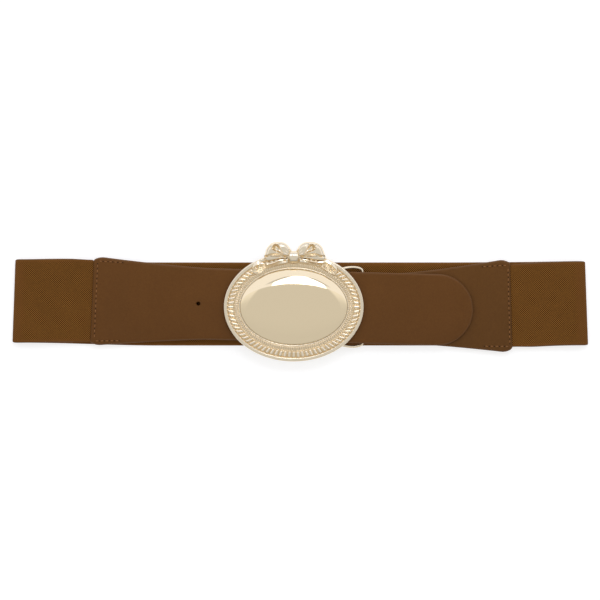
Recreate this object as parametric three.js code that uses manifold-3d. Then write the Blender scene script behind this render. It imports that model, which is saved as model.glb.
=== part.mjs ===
// A wide elastic waist belt with leather ends, fastened by an oval plate buckle with a bow on top.
// It lies fastened and pressed flat on a table, plate upwards: a woven elastic band runs round the back,
// the left leather strap hooks on a post behind the plate, passes over the buckle's wire bail and ends in
// a round tongue, and the right leather strap is folded round the bail.
// Millimetres. X runs along the belt, Y across it towards the bow, Z up from the table.

import * as THREE from "three";
import { mergeVertices } from "three/addons/utils/BufferGeometryUtils.js";
import Module from "manifold-3d";

const wasm = await Module();
wasm.setup();

// Clearance that neighbouring pieces keep to each other.
const GAP = 0.3;

// The elastic band.
const BELT_LENGTH = 343.8; // fold to fold, at mid width
const BAND_WIDTH = 50;
const BAND_THICKNESS = 1.6;
const FOLD_RADIUS = 2.4; // of the band's middle surface at each end of the flattened loop
const SEAM_DRAW_IN = 0.6; // how far a seam pulls in each edge of the band
const END_SPLAY = 1.8; // the lower edge is longer than the upper one by this at each end
const LEFT_FOLD_LIFT = 2.0; // how far the left fold lies towards the bow
const RIGHT_FOLD_LIFT = 1.2;

// The leather straps: two skins, sewn round the band's end at one end and bonded beyond it.
const SKIN = 1.0;
const STRAP_WIDTH = 42.8;
const SEWN_DEPTH = 10; // how far the band reaches into a strap
const SKINS_MEET = 13; // the length in which the two skins come together beyond the band
const LEATHER_EDGE = 0.35; // bevel along every leather edge
const TAPER_POWER = 1.3; // above 1 the taper eases into the narrow run

// The left strap, with its holes and its round tongue.
const TONGUE_STRAP = {
  end: { x: -124.5, y: 2.0 }, // middle of the sewn end
  turn: THREE.MathUtils.degToRad(-1.45),
  length: 228.3,
  width: 52.6, // at its widest point
  cornerLength: 5,
  cornerDepth: 2.2,
  taperLength: 65,
};
const HOLE_RADIUS = 1.2;
const HOLE_PITCH = 25;

// The right strap, folded round the bail.
const BUCKLE_STRAP = {
  end: { x: 126.9, y: -0.5 },
  turn: THREE.MathUtils.degToRad(181.45),
  width: 54.6,
  cornerLength: 6,
  cornerDepth: 2.4,
  taperLength: 58,
};
const FOLD_SKIN = 1.5; // the strap is pared to this where it is folded
const FOLD_WIDTH = 40;
const FOLD_RETURN = 27; // length of the folded end, under the strap

// The oval plate, measured from its own centre.
const PLATE = { x: -3.9, y: -1.8 };
const PLATE_WIDTH = 84.2;
const PLATE_HEIGHT = 65.5;
const BORDER = 10.0; // width of the cast border round the dome
const RIM_HEIGHT = 2.7;
const ROPE_CREST = 3.6;
const ROPE_VALLEY = 2.7;
const ROPE_LOBES = 80;
const ROPE_LEAN = 1.5; // how far a lobe's ends lean, the outer one towards the nearer end of the oval
const LEDGE_DEPTH = 1.8; // the step that carries the dome
const LEDGE_HEIGHT = 0.9;
const DOME_RISE = 5.2;
const DOME_WALL = 1.1;
const DOME_EDGE = 1.0; // height of the dome's own rim

// The post that goes through a hole of the left strap, and the wire bail on the other side.
const POST_RADIUS = 0.85;
const POST_INSET = 9.8; // from the plate's left edge
const POST_REACH = 1.2; // how far it comes out under the strap
const WIRE = 1.6;
const BAIL_SPAN = 47.4; // across, between the wire's middles
const BAIL_WAIST = 45.9; // the same, where the bail meets the lugs
const BAIL_INSET = 0.8; // how far the middle of the bail's bar lies inside the plate's right edge
const BAIL_CORNER = 3.2;
const LUG = { x: 21.5, length: 3.4, thickness: 2.2, depth: 3.8 };

// The bow, measured from the middle of its knot.
const KNOT = { y: 31, z: 3.9, width: 6.4, height: 5.4, depth: 6 };
const BOW_LOOP = { length: 17.4, height: 11.6, depth: 5.4, foot: 1.3 };
const BOW_TAIL = { span: 23.4, drop: 10.4, thickness: 1.5, foot: 1.3 };

// Heights that follow from the layers on the table.
const TAB_THICKNESS = 2 * SKIN + BAND_THICKNESS + 2 * GAP;
const STRAP_THICKNESS = 2 * SKIN;
const LAYER_ON_BAND = BAND_THICKNESS + GAP; // underside of whatever lies on the band
const TAB_MIDDLE = LAYER_ON_BAND + TAB_THICKNESS / 2;
const BAR_MIDDLE = LAYER_ON_BAND + FOLD_SKIN + GAP + WIRE / 2;
const WRAP_RADIUS = WIRE / 2 + GAP + FOLD_SKIN / 2; // of the folded strap's middle surface
const WRAP_TOP = BAR_MIDDLE + WRAP_RADIUS + FOLD_SKIN / 2;
const STRAP_ON_BAIL = WRAP_TOP + GAP + STRAP_THICKNESS / 2; // middle of the left strap under the plate
const PLATE_BACK = STRAP_ON_BAIL + STRAP_THICKNESS / 2 + GAP;
const BAR_X = PLATE_WIDTH / 2 - BAIL_INSET; // the bail's far bar, from the plate's centre

const { clamp, lerp, smoothstep } = THREE.MathUtils;

// Joins rings of points, all of one length, into a closed skin with its faces pointing out.
function skin(rings, looped = false) {
  const size = rings[0].length;
  const points = rings.flat();
  const faces = [];
  const spans = looped ? rings.length : rings.length - 1;
  for (let i = 0; i < spans; i++) {
    const here = i * size;
    const next = ((i + 1) % rings.length) * size;
    for (let j = 0; j < size; j++) {
      const k = (j + 1) % size;
      faces.push(here + j, next + k, next + j, here + j, here + k, next + k);
    }
  }
  if (!looped) {
    const last = (rings.length - 1) * size;
    for (let j = 1; j < size - 1; j++) {
      faces.push(0, j + 1, j, last, last + j, last + j + 1);
    }
  }
  return facingOut(points, faces);
}

// Turns the faces round if they enclose a negative volume.
function facingOut(points, faces) {
  let volume = 0;
  for (let i = 0; i < faces.length; i += 3) {
    const [a, b, c] = [points[faces[i]], points[faces[i + 1]], points[faces[i + 2]]];
    volume += a.dot(b.clone().cross(c));
  }
  const outward = volume < 0 ? faces.reverse() : faces;
  const geometry = new THREE.BufferGeometry().setFromPoints(points);
  geometry.setIndex(outward);
  return geometry;
}

function toSolid(geometry) {
  const bare = geometry.clone();
  bare.deleteAttribute("normal");
  bare.deleteAttribute("uv");
  const merged = mergeVertices(bare, 1e-4);
  return new wasm.Manifold(
    new wasm.Mesh({
      numProp: 3,
      vertProperties: new Float32Array(merged.attributes.position.array),
      triVerts: new Uint32Array(merged.index.array),
    }),
  );
}

function fromSolid(solid) {
  const mesh = solid.getMesh();
  const geometry = new THREE.BufferGeometry();
  geometry.setAttribute("position", new THREE.BufferAttribute(mesh.vertProperties, 3));
  geometry.setIndex(new THREE.BufferAttribute(mesh.triVerts, 1));
  return geometry;
}

// A flat band with bevelled edges. Each station gives its middle, half width and thickness; the band
// travels in the XZ plane, and splay moves a station's X in proportion to the distance across.
function ribbon(stations, bevel) {
  const last = stations.length - 1;
  const rings = stations.map((station, i) => {
    const before = stations[Math.max(i - 1, 0)];
    const after = stations[Math.min(i + 1, last)];
    const along = new THREE.Vector2(after.x - before.x, after.z - before.z).normalize();
    const half = station.thickness / 2;
    const corners = [
      [-1, -half + bevel, 0], [-1, -half, bevel], [1, -half, bevel], [1, -half + bevel, 0],
      [1, half - bevel, 0], [1, half, bevel], [-1, half, bevel], [-1, half - bevel, 0],
    ];
    return corners.map(([side, up, inset]) => {
      const across = side * (station.halfWidth - inset);
      return new THREE.Vector3(
        station.x + (station.splay ?? 0) * across - along.y * up,
        (station.y ?? 0) + across,
        station.z + along.x * up,
      );
    });
  });
  return skin(rings);
}

// A round bar along a curve.
function rod(curve, radius, steps, sides) {
  const frames = curve.computeFrenetFrames(steps, false);
  const rings = [];
  for (let i = 0; i <= steps; i++) {
    const middle = curve.getPointAt(i / steps);
    rings.push(
      Array.from({ length: sides }, (_, j) => {
        const angle = (2 * Math.PI * j) / sides;
        return middle
          .clone()
          .addScaledVector(frames.normals[i], radius * Math.cos(angle))
          .addScaledVector(frames.binormals[i], radius * Math.sin(angle));
      }),
    );
  }
  return skin(rings);
}

function block(width, depth, height, x, y, z) {
  return new THREE.BoxGeometry(width, depth, height).translate(x, y, z);
}

// An upright post or hole between two heights.
function upright(radius, sides, x, low, high) {
  return new THREE.CylinderGeometry(radius, radius, high - low, sides)
    .rotateX(Math.PI / 2)
    .translate(x, 0, (low + high) / 2);
}

const material = {
  elastic: new THREE.MeshStandardMaterial({ color: 0x62401a, roughness: 0.85 }),
  leather: new THREE.MeshStandardMaterial({ color: 0x5f3f21, roughness: 0.5 }),
  gold: new THREE.MeshStandardMaterial({ color: 0xe3cda3, roughness: 0.2, metalness: 1 }),
};

function piece(name, geometry, finish) {
  geometry.computeVertexNormals();
  const mesh = new THREE.Mesh(geometry, finish);
  mesh.name = name;
  return mesh;
}

// The band, from inside one strap round the back and into the other

// One half of the band: from its end inside a strap, over the fold, to the middle of the back.
function halfBand(side, strap, foldLift) {
  const halfLength = BELT_LENGTH / 2;
  const splay = (-side * END_SPLAY) / BAND_WIDTH;
  const seamHalf = BAND_WIDTH / 2 - SEAM_DRAW_IN;
  const strapY = (x) => strap.end.y + (x - strap.end.x) * Math.tan(strap.turn);
  const foldX = halfLength - FOLD_RADIUS - BAND_THICKNESS / 2;
  const foldTop = BAND_THICKNESS / 2 + 2 * FOLD_RADIUS;
  const mouth = Math.abs(strap.end.x);
  const stations = [];
  const add = (distance, y, z, halfWidth) =>
    stations.push({
      x: side * distance,
      y,
      z,
      halfWidth,
      thickness: BAND_THICKNESS,
      splay: (splay * distance) / halfLength,
    });
  add(mouth - SEWN_DEPTH, strapY(side * (mouth - SEWN_DEPTH)), TAB_MIDDLE, seamHalf);
  add(mouth, strapY(side * mouth), TAB_MIDDLE, seamHalf);
  for (const share of [0.08, 0.2, 0.35, 0.5, 0.65, 0.8, 0.92]) {
    const distance = lerp(mouth, foldX, share);
    const eased = smoothstep(share, 0, 1);
    add(
      distance,
      lerp(strapY(side * distance), foldLift, eased),
      lerp(TAB_MIDDLE, foldTop, eased),
      lerp(seamHalf, BAND_WIDTH / 2, smoothstep(share, 0, 0.35)),
    );
  }
  const foldSteps = 10;
  for (let i = 0; i <= foldSteps; i++) {
    const angle = (Math.PI * i) / foldSteps;
    const height = BAND_THICKNESS / 2 + FOLD_RADIUS * (1 + Math.cos(angle));
    add(foldX + FOLD_RADIUS * Math.sin(angle), foldLift, height, BAND_WIDTH / 2);
  }
  for (const share of [0.9, 0.78, 0.66, 0.54, 0.42, 0.2]) {
    add(foldX * share, foldLift * smoothstep(share, 0.5, 1), BAND_THICKNESS / 2, BAND_WIDTH / 2);
  }
  return stations;
}

function elasticBand() {
  const left = halfBand(-1, TONGUE_STRAP, LEFT_FOLD_LIFT);
  const right = halfBand(1, BUCKLE_STRAP, RIGHT_FOLD_LIFT);
  const bevel = BAND_THICKNESS / 4;
  return piece("elastic_band", ribbon([...left, ...right.reverse()], bevel), material.elastic);
}

// The leather straps, each along its own X from its sewn end

// Half the width of a strap at a distance from its sewn end: round corners, then an even taper.
function strapHalfWidth(strap, distance) {
  const widest = strap.width / 2;
  if (distance < strap.cornerLength) {
    const back = 1 - distance / strap.cornerLength;
    return widest - strap.cornerDepth * (1 - Math.sqrt(1 - back * back));
  }
  const along = clamp((distance - strap.cornerLength) / strap.taperLength, 0, 1);
  return lerp(STRAP_WIDTH / 2, widest, (1 - along) ** TAPER_POWER);
}

// Two skins apart at the sewn end and together beyond it.
function strapThickness(distance) {
  const together = smoothstep(distance, SEWN_DEPTH + GAP, SEWN_DEPTH + GAP + SKINS_MEET);
  return lerp(TAB_THICKNESS, STRAP_THICKNESS, together);
}

// Distances of the stations that both straps share, from the sewn end to the end of the taper.
function sewnStations(strap) {
  const corner = [0, 0.03, 0.12, 0.3, 0.6, 1].map((share) => share * strap.cornerLength);
  const taperStart = strap.cornerLength;
  const taper = [0.1, 0.18, 0.26, 0.36, 0.48, 0.6, 0.72, 0.86, 1];
  return [...corner, ...taper.map((share) => taperStart + share * strap.taperLength)];
}

// The space for the band's end.
function sewnPocket() {
  const overrun = 2;
  return toSolid(
    block(
      SEWN_DEPTH + GAP + overrun,
      BAND_WIDTH - 2 * SEAM_DRAW_IN + 2 * GAP,
      BAND_THICKNESS + 2 * GAP,
      (SEWN_DEPTH + GAP - overrun) / 2,
      0,
      TAB_MIDDLE,
    ),
  );
}

function placeStrap(mesh, strap) {
  mesh.position.set(strap.end.x, strap.end.y, 0);
  mesh.rotation.z = strap.turn;
  return mesh;
}

// Distance along a strap's middle to a place on the belt.
function alongStrap(strap, x) {
  return (x - strap.end.x) / Math.cos(strap.turn);
}

const postX = PLATE.x - PLATE_WIDTH / 2 + POST_INSET;
const postAlongStrap = alongStrap(TONGUE_STRAP, postX);
const barAlongTongue = alongStrap(TONGUE_STRAP, PLATE.x + BAR_X);

// The right strap where it lies flat and where it climbs over the bar.
function buckleStrapStation(distance) {
  const barAlong = alongStrap(BUCKLE_STRAP, PLATE.x + BAR_X);
  const returnEnd = barAlong - FOLD_RETURN;
  const paredFrom = lerp(returnEnd, barAlong, 0.15);
  const paredTo = lerp(returnEnd, barAlong, 0.4);
  const riseFrom = lerp(returnEnd, barAlong, 0.5);
  const pared = smoothstep(distance, paredFrom, paredTo);
  const thickness = lerp(strapThickness(distance), FOLD_SKIN, pared);
  const onFold = smoothstep(distance, SEWN_DEPTH + SKINS_MEET, returnEnd);
  const flat = LAYER_ON_BAND + FOLD_SKIN + GAP + thickness / 2;
  const low = lerp(TAB_MIDDLE, flat, onFold);
  const top = BAR_MIDDLE + WRAP_RADIUS;
  return {
    x: distance,
    z: lerp(low, top, smoothstep(distance, riseFrom, barAlong)),
    halfWidth: lerp(strapHalfWidth(BUCKLE_STRAP, distance), FOLD_WIDTH / 2, pared),
    thickness,
    splay: pared * Math.tan(BUCKLE_STRAP.turn), // the fold lies square to the belt, like the bar
  };
}

// Middle of the left strap where it rests on the right one.
function restingOnBuckleStrap(x) {
  const under = buckleStrapStation(alongStrap(BUCKLE_STRAP, x));
  return under.z + under.thickness / 2 + GAP + STRAP_THICKNESS / 2;
}

// Height of the left strap's middle: low where it is sewn, over the bail, then down on the right strap.
function tongueHeight(distance) {
  const riseStart = SEWN_DEPTH + SKINS_MEET / 2;
  const underPlate = postAlongStrap - HOLE_PITCH / 2;
  if (distance < barAlongTongue) {
    return lerp(TAB_MIDDLE, STRAP_ON_BAIL, smoothstep(distance, riseStart, underPlate));
  }
  const x = TONGUE_STRAP.end.x + distance * Math.cos(TONGUE_STRAP.turn);
  const tip = TONGUE_STRAP.end.x + TONGUE_STRAP.length * Math.cos(TONGUE_STRAP.turn);
  const landing = smoothstep(distance, barAlongTongue, TONGUE_STRAP.length);
  const unbent = lerp(STRAP_ON_BAIL, restingOnBuckleStrap(tip), landing);
  return Math.max(unbent, restingOnBuckleStrap(x));
}

function tongueStrap() {
  const tipRadius = STRAP_WIDTH / 2;
  const tipStart = TONGUE_STRAP.length - tipRadius;
  const taperEnd = TONGUE_STRAP.cornerLength + TONGUE_STRAP.taperLength;
  const run = [0.12, 0.3, 0.5, 0.66, 0.74, 0.8, 0.86, 0.93, 1];
  const distances = [
    ...sewnStations(TONGUE_STRAP),
    ...run.map((share) => lerp(taperEnd, tipStart, share)),
  ];
  const stations = distances.map((distance) => ({
    x: distance,
    z: tongueHeight(distance),
    halfWidth: strapHalfWidth(TONGUE_STRAP, distance),
    thickness: strapThickness(distance),
  }));
  const tipSteps = 9;
  const tipEnd = 0.97; // share of the quarter turn where the round tip is cut blunt
  for (let i = 1; i <= tipSteps; i++) {
    const angle = ((Math.PI / 2) * tipEnd * i) / tipSteps;
    const distance = tipStart + (tipRadius * Math.sin(angle)) / Math.sin((Math.PI / 2) * tipEnd);
    stations.push({
      x: distance,
      z: tongueHeight(distance),
      halfWidth: tipRadius * Math.cos(angle),
      thickness: STRAP_THICKNESS,
    });
  }
  let solid = toSolid(ribbon(stations, LEATHER_EDGE)).subtract(sewnPocket());
  for (const step of [-1, 0, 1]) {
    const x = postAlongStrap + step * HOLE_PITCH;
    const middle = tongueHeight(x);
    const hole = upright(HOLE_RADIUS, 12, x, middle - STRAP_THICKNESS, middle + STRAP_THICKNESS);
    solid = solid.subtract(toSolid(hole));
  }
  return placeStrap(piece("tongue_strap", fromSolid(solid), material.leather), TONGUE_STRAP);
}

function buckleStrap() {
  const barAlongStrap = alongStrap(BUCKLE_STRAP, PLATE.x + BAR_X);
  const foldSplay = Math.tan(BUCKLE_STRAP.turn);
  const foldMiddle = LAYER_ON_BAND + FOLD_SKIN / 2;
  const taperEnd = BUCKLE_STRAP.cornerLength + BUCKLE_STRAP.taperLength;
  const toBar = [0.2, 0.4, 0.55, 0.7, 0.84, 0.94].map((s) => lerp(taperEnd, barAlongStrap, s));
  const distances = [...sewnStations(BUCKLE_STRAP), ...toBar];
  const flat = distances.filter((distance) => distance < barAlongStrap);
  const stations = flat.map(buckleStrapStation);
  const wrapSteps = 9;
  for (let i = 0; i <= wrapSteps; i++) {
    const angle = (Math.PI * i) / wrapSteps;
    stations.push({
      x: barAlongStrap + WRAP_RADIUS * Math.sin(angle),
      z: BAR_MIDDLE + WRAP_RADIUS * Math.cos(angle),
      halfWidth: FOLD_WIDTH / 2,
      thickness: FOLD_SKIN,
      splay: foldSplay,
    });
  }
  for (const share of [0.25, 0.6, 1]) {
    stations.push({
      x: barAlongStrap - share * FOLD_RETURN,
      z: foldMiddle,
      halfWidth: FOLD_WIDTH / 2,
      thickness: FOLD_SKIN,
      splay: foldSplay,
    });
  }
  const solid = toSolid(ribbon(stations, LEATHER_EDGE)).subtract(sewnPocket());
  return placeStrap(piece("buckle_strap", fromSolid(solid), material.leather), BUCKLE_STRAP);
}

// The buckle, round the middle of the plate's back

// A point of the plate's outline, moved inwards by inset. Angle 0 is at the right.
function ovalPoint(angle, inset, z) {
  const [a, b] = [PLATE_WIDTH / 2, PLATE_HEIGHT / 2];
  const normal = new THREE.Vector2(Math.cos(angle) / a, Math.sin(angle) / b).normalize();
  return new THREE.Vector3(
    a * Math.cos(angle) - inset * normal.x,
    b * Math.sin(angle) - inset * normal.y,
    z,
  );
}

// Angles at equal steps along the rope border.
function evenAngles(count) {
  const inset = BORDER / 2;
  const rope = new THREE.EllipseCurve(0, 0, PLATE_WIDTH / 2 - inset, PLATE_HEIGHT / 2 - inset);
  return Array.from({ length: count }, (_, i) => 2 * Math.PI * rope.getUtoTmapping(i / count));
}

// The border's cross section: share of the border's width, height on a lobe and between two lobes,
// and how much of the lobes' lean the point takes.
function borderSection() {
  const groove = RIM_HEIGHT - 0.8;
  const bead = RIM_HEIGHT;
  return [
    { inset: 0, lobe: 0.5, valley: 0.5, lean: 0 },
    { inset: 0, lobe: RIM_HEIGHT - 0.7, valley: RIM_HEIGHT - 0.7, lean: 0 },
    { inset: 0.08 * BORDER, lobe: RIM_HEIGHT, valley: RIM_HEIGHT, lean: 0 },
    { inset: 0.19 * BORDER, lobe: RIM_HEIGHT - 0.1, valley: RIM_HEIGHT - 0.1, lean: 0.3 },
    { inset: 0.25 * BORDER, lobe: groove, valley: groove, lean: 0.8 },
    { inset: 0.32 * BORDER, lobe: ROPE_CREST - 0.4, valley: groove, lean: 0.6 },
    { inset: 0.43 * BORDER, lobe: ROPE_CREST, valley: ROPE_VALLEY, lean: 0 },
    { inset: 0.58 * BORDER, lobe: ROPE_CREST - 0.9, valley: groove, lean: -0.8 },
    { inset: 0.68 * BORDER, lobe: bead, valley: bead, lean: -0.3 },
    { inset: 0.88 * BORDER, lobe: bead - 0.2, valley: bead - 0.2, lean: 0 },
    { inset: BORDER - GAP, lobe: LEDGE_HEIGHT + 0.9, valley: LEDGE_HEIGHT + 0.9, lean: 0 },
    { inset: BORDER - GAP, lobe: LEDGE_HEIGHT, valley: LEDGE_HEIGHT, lean: 0 },
    { inset: BORDER + LEDGE_DEPTH, lobe: LEDGE_HEIGHT, valley: LEDGE_HEIGHT, lean: 0 },
    { inset: BORDER + LEDGE_DEPTH, lobe: 0, valley: 0, lean: 0 },
    { inset: 0.06 * BORDER, lobe: 0, valley: 0, lean: 0 },
  ];
}

function borderRing() {
  const section = borderSection();
  const rings = evenAngles(2 * ROPE_LOBES).map((angle, i) =>
    section.map(({ inset, lobe, valley, lean }) => {
      const half = clamp(3 * Math.sin(angle), -1, 1); // changes side at the ends of the oval
      const shift = (-lean * ROPE_LEAN * Math.cos(angle) * half) / (PLATE_HEIGHT / 2);
      return ovalPoint(angle + shift, inset, i % 2 ? valley : lobe);
    }),
  );
  return skin(rings, true);
}

// The polished dome: a shell over an oval, from its top over its rim and back under to the middle.
function domeShell() {
  const segments = 48;
  const crown = (share) => DOME_EDGE + (DOME_RISE - DOME_EDGE) * (1 - share ** 2.4) ** 0.75;
  const over = [0.18, 0.38, 0.56, 0.72, 0.85, 0.94, 0.99].map((share) => [share, crown(share)]);
  const under = [0.93, 0.8, 0.55, 0.25].map((share) => [share, crown(share) - DOME_WALL]);
  const profile = [...over, [1, DOME_EDGE], [1, 0], [0.965, 0], ...under.map(([s, z]) => [s, Math.max(z, 0.05)])];
  const top = new THREE.Vector3(0, 0, DOME_RISE);
  const bottom = new THREE.Vector3(0, 0, DOME_RISE - DOME_WALL);
  const rings = profile.map(([share, z]) =>
    Array.from({ length: segments }, (_, i) => {
      const edge = ovalPoint((2 * Math.PI * i) / segments, BORDER, z);
      return new THREE.Vector3(edge.x * share, edge.y * share, z);
    }),
  );
  const points = [...rings.flat(), top, bottom];
  const faces = [];
  for (let i = 0; i < segments; i++) {
    const k = (i + 1) % segments;
    faces.push(points.length - 2, i, k);
    const lastRing = (rings.length - 1) * segments;
    faces.push(points.length - 1, lastRing + k, lastRing + i);
    for (let ring = 0; ring < rings.length - 1; ring++) {
      const here = ring * segments;
      const next = here + segments;
      faces.push(here + i, next + i, next + k, here + i, next + k, here + k);
    }
  }
  return facingOut(points, faces);
}

// One loop of the bow: a puffed teardrop with a hollow mouth. Points along its edge are shares of its
// length and height, from the knot and back; side is -1 for the left loop.
const LOOP_EDGE = [
  [0.06, 0.1], [0.17, 0.39], [0.31, 0.6], [0.49, 0.69], [0.69, 0.65], [0.87, 0.48],
  [0.96, 0.18], [1.0, -0.08], [0.93, -0.3], [0.68, -0.3], [0.36, -0.2], [0.1, -0.12],
];
// Rings from the foot, up over the lip and down into the mouth: scale, height as a share of the depth.
const LOOP_RINGS = [
  [0.88, 0], [1, 0.2], [0.97, 0.55], [0.8, 0.88], [0.6, 1], [0.44, 0.9], [0.36, 0.5],
];
const LOOP_MOUTH = [0.56, 0.3];

function bowLoop(side) {
  const { length, height, depth, foot } = BOW_LOOP;
  const mouth = new THREE.Vector2(LOOP_MOUTH[0] * length, LOOP_MOUTH[1] * height);
  const edge = new THREE.CatmullRomCurve3(
    LOOP_EDGE.map(([x, y]) => new THREE.Vector3(x * length, y * height, 0)),
    true,
  );
  const outline = edge.getSpacedPoints(20).slice(0, -1);
  const rings = LOOP_RINGS.map(([scale, share]) =>
    outline.map(
      (point) =>
        new THREE.Vector3(
          side * lerp(mouth.x, point.x, scale),
          KNOT.y + lerp(mouth.y, point.y, scale),
          foot + share * depth,
        ),
    ),
  );
  return skin(rings);
}

// A tail of the bow: a ribbon that leaves the knot on edge, follows the border and turns flat at its end.
// Each row: share of the span, share of the drop, width and height above the border.
const TAIL_ROUTE = [
  { along: 0.04, down: 0.1, width: 2.4, height: 0.5 },
  { along: 0.25, down: 0.17, width: 2.6, height: 0.9 },
  { along: 0.48, down: 0.24, width: 3.0, height: 0.5 },
  { along: 0.68, down: 0.28, width: 4.4, height: 0.9 },
  { along: 0.85, down: 0.44, width: 6.0, height: 1.1 },
  { along: 0.95, down: 0.72, width: 6.2, height: 0.4 },
  { along: 0.97, down: 1.0, width: 4.8, height: 0 },
];

function bowTail(side) {
  const route = new THREE.CatmullRomCurve3(
    TAIL_ROUTE.map(
      ({ along, down, height }) =>
        new THREE.Vector3(
          side * along * BOW_TAIL.span,
          KNOT.y - down * BOW_TAIL.drop,
          ROPE_VALLEY + BOW_TAIL.thickness / 2 + height,
        ),
    ),
  );
  const steps = 16;
  const rings = [];
  for (let i = 0; i <= steps; i++) {
    const middle = route.getPoint(i / steps);
    const travel = route.getTangent(i / steps);
    const across = new THREE.Vector3(-travel.y, travel.x, 0).normalize();
    const row = (i / steps) * (TAIL_ROUTE.length - 1);
    const [low, high] = [TAIL_ROUTE[Math.floor(row)], TAIL_ROUTE[Math.ceil(row)]];
    const half = lerp(low.width, high.width, row % 1) / 2;
    const thin = BOW_TAIL.thickness / 2;
    const foot = BOW_TAIL.foot - middle.z;
    const corners = [
      [-half, 0], [-half * 0.8, thin], [0, thin * 0.6], [half * 0.8, thin],
      [half, 0], [half * 0.8, foot], [-half * 0.8, foot],
    ];
    rings.push(
      corners.map(([sideways, up]) =>
        middle.clone().addScaledVector(across, sideways).add(new THREE.Vector3(0, 0, up)),
      ),
    );
  }
  return skin(rings);
}

function bowKnot() {
  const { y, z, width, height, depth } = KNOT;
  return new THREE.SphereGeometry(0.5, 14, 8).scale(width, height, depth).translate(0, y, z);
}

// Post and lugs are cast with the border.
function post() {
  const reach = PLATE_BACK - (STRAP_ON_BAIL - STRAP_THICKNESS / 2) + POST_REACH;
  const lift = TONGUE_STRAP.end.y + postAlongStrap * Math.sin(TONGUE_STRAP.turn) - PLATE.y;
  return upright(POST_RADIUS, 10, postX - PLATE.x, -reach, LEDGE_HEIGHT / 2).translate(0, lift, 0);
}

const lugMiddle = BAIL_WAIST / 2 + WIRE / 2 + GAP + LUG.thickness / 2;
const pivotHeight = -(LUG.depth / 2);

function lug(side) {
  const overlap = LEDGE_HEIGHT / 2;
  const body = block(
    LUG.length,
    LUG.thickness,
    LUG.depth + overlap,
    LUG.x,
    side * lugMiddle,
    (overlap - LUG.depth) / 2,
  );
  const bore = new THREE.CylinderGeometry(WIRE / 2 + GAP, WIRE / 2 + GAP, 2 * LUG.thickness, 12);
  bore.translate(LUG.x, side * lugMiddle, pivotHeight);
  return toSolid(body).subtract(toSolid(bore));
}

function buckleFrame() {
  let solid = toSolid(borderRing());
  const cast = [bowLoop(-1), bowLoop(1), bowTail(-1), bowTail(1), bowKnot(), post()];
  for (const part of cast) {
    solid = solid.add(toSolid(part));
  }
  solid = solid.add(lug(-1)).add(lug(1));
  return piece("buckle_frame", fromSolid(solid), material.gold);
}

function domePlate() {
  const mesh = piece("dome_plate", domeShell(), material.gold);
  mesh.position.z = LEDGE_HEIGHT + GAP;
  return mesh;
}

// The wire bail: both ends turn outwards into the lugs, and the far bar carries the folded strap.
function bail() {
  const barHeight = BAR_MIDDLE - PLATE_BACK;
  const [waist, span] = [BAIL_WAIST / 2, BAIL_SPAN / 2];
  const widest = BAR_X - BAIL_CORNER;
  const slope = (x) => lerp(pivotHeight, barHeight, clamp((x - LUG.x) / (BAR_X - LUG.x), 0, 1));
  const end = lugMiddle + LUG.thickness / 2 + GAP;
  const half = [
    [LUG.x, end],
    [LUG.x, lugMiddle],
    [LUG.x + 0.3, waist + 0.9],
    [LUG.x + 1.8, waist],
    [lerp(LUG.x, widest, 0.42), waist],
    [lerp(LUG.x, widest, 0.56), lerp(waist, span, 0.45)],
    [lerp(LUG.x, widest, 0.72), span],
    [widest - 0.8, span],
    [widest + 0.7 * BAIL_CORNER, span - 0.3 * BAIL_CORNER],
    [BAR_X, span - BAIL_CORNER],
    [BAR_X, span * 0.5],
  ];
  const point = (side) => ([x, y]) => new THREE.Vector3(x, side * y, slope(x));
  const route = [...half.map(point(1)), ...half.map(point(-1)).reverse()];
  return piece("bail", rod(new THREE.CatmullRomCurve3(route, false), WIRE / 2, 80, 8), material.gold);
}

function buckle() {
  const group = new THREE.Group();
  group.position.set(PLATE.x, PLATE.y, PLATE_BACK);
  group.add(buckleFrame(), domePlate(), bail());
  return group;
}

// The belt stands with the middle of its footprint on the origin.
const layout = new THREE.Group();
layout.add(elasticBand(), tongueStrap(), buckleStrap(), buckle());
layout.updateMatrixWorld(true);
const footprint = new THREE.Box3().setFromObject(layout, true).getCenter(new THREE.Vector3());
layout.position.set(-footprint.x, -footprint.y, 0);

const belt = new THREE.Group();
belt.add(layout);

export default belt;
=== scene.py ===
# %% [markdown]
# # A stretch belt with a plate buckle
#
# The belt lies closed and pressed flat on a white table, seen from straight above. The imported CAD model
# is the frame for everything here: each soft or fine piece is built again with more detail, in the place
# where its solid lies. Blender works in metres, but a belt maker thinks in millimetres, so every size
# below is in millimetres and is turned into metres when a mesh is made.

# %% Load the frame
import bpy
import bmesh
import math
import numpy as np
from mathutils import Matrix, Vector, noise


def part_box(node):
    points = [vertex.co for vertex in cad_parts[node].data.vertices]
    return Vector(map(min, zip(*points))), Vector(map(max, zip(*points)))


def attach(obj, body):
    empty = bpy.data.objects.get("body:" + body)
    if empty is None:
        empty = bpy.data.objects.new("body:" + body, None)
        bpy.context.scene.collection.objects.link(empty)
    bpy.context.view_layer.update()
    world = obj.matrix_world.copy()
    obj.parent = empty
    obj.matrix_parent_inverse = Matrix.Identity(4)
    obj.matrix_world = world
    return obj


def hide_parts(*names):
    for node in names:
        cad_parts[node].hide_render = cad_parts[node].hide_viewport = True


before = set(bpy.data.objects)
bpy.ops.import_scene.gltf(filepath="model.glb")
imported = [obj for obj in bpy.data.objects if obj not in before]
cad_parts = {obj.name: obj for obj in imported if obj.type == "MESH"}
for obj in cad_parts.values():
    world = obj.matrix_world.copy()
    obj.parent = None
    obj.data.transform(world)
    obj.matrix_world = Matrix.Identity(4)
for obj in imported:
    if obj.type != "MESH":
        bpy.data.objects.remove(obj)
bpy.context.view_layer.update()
MM = 0.001

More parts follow.
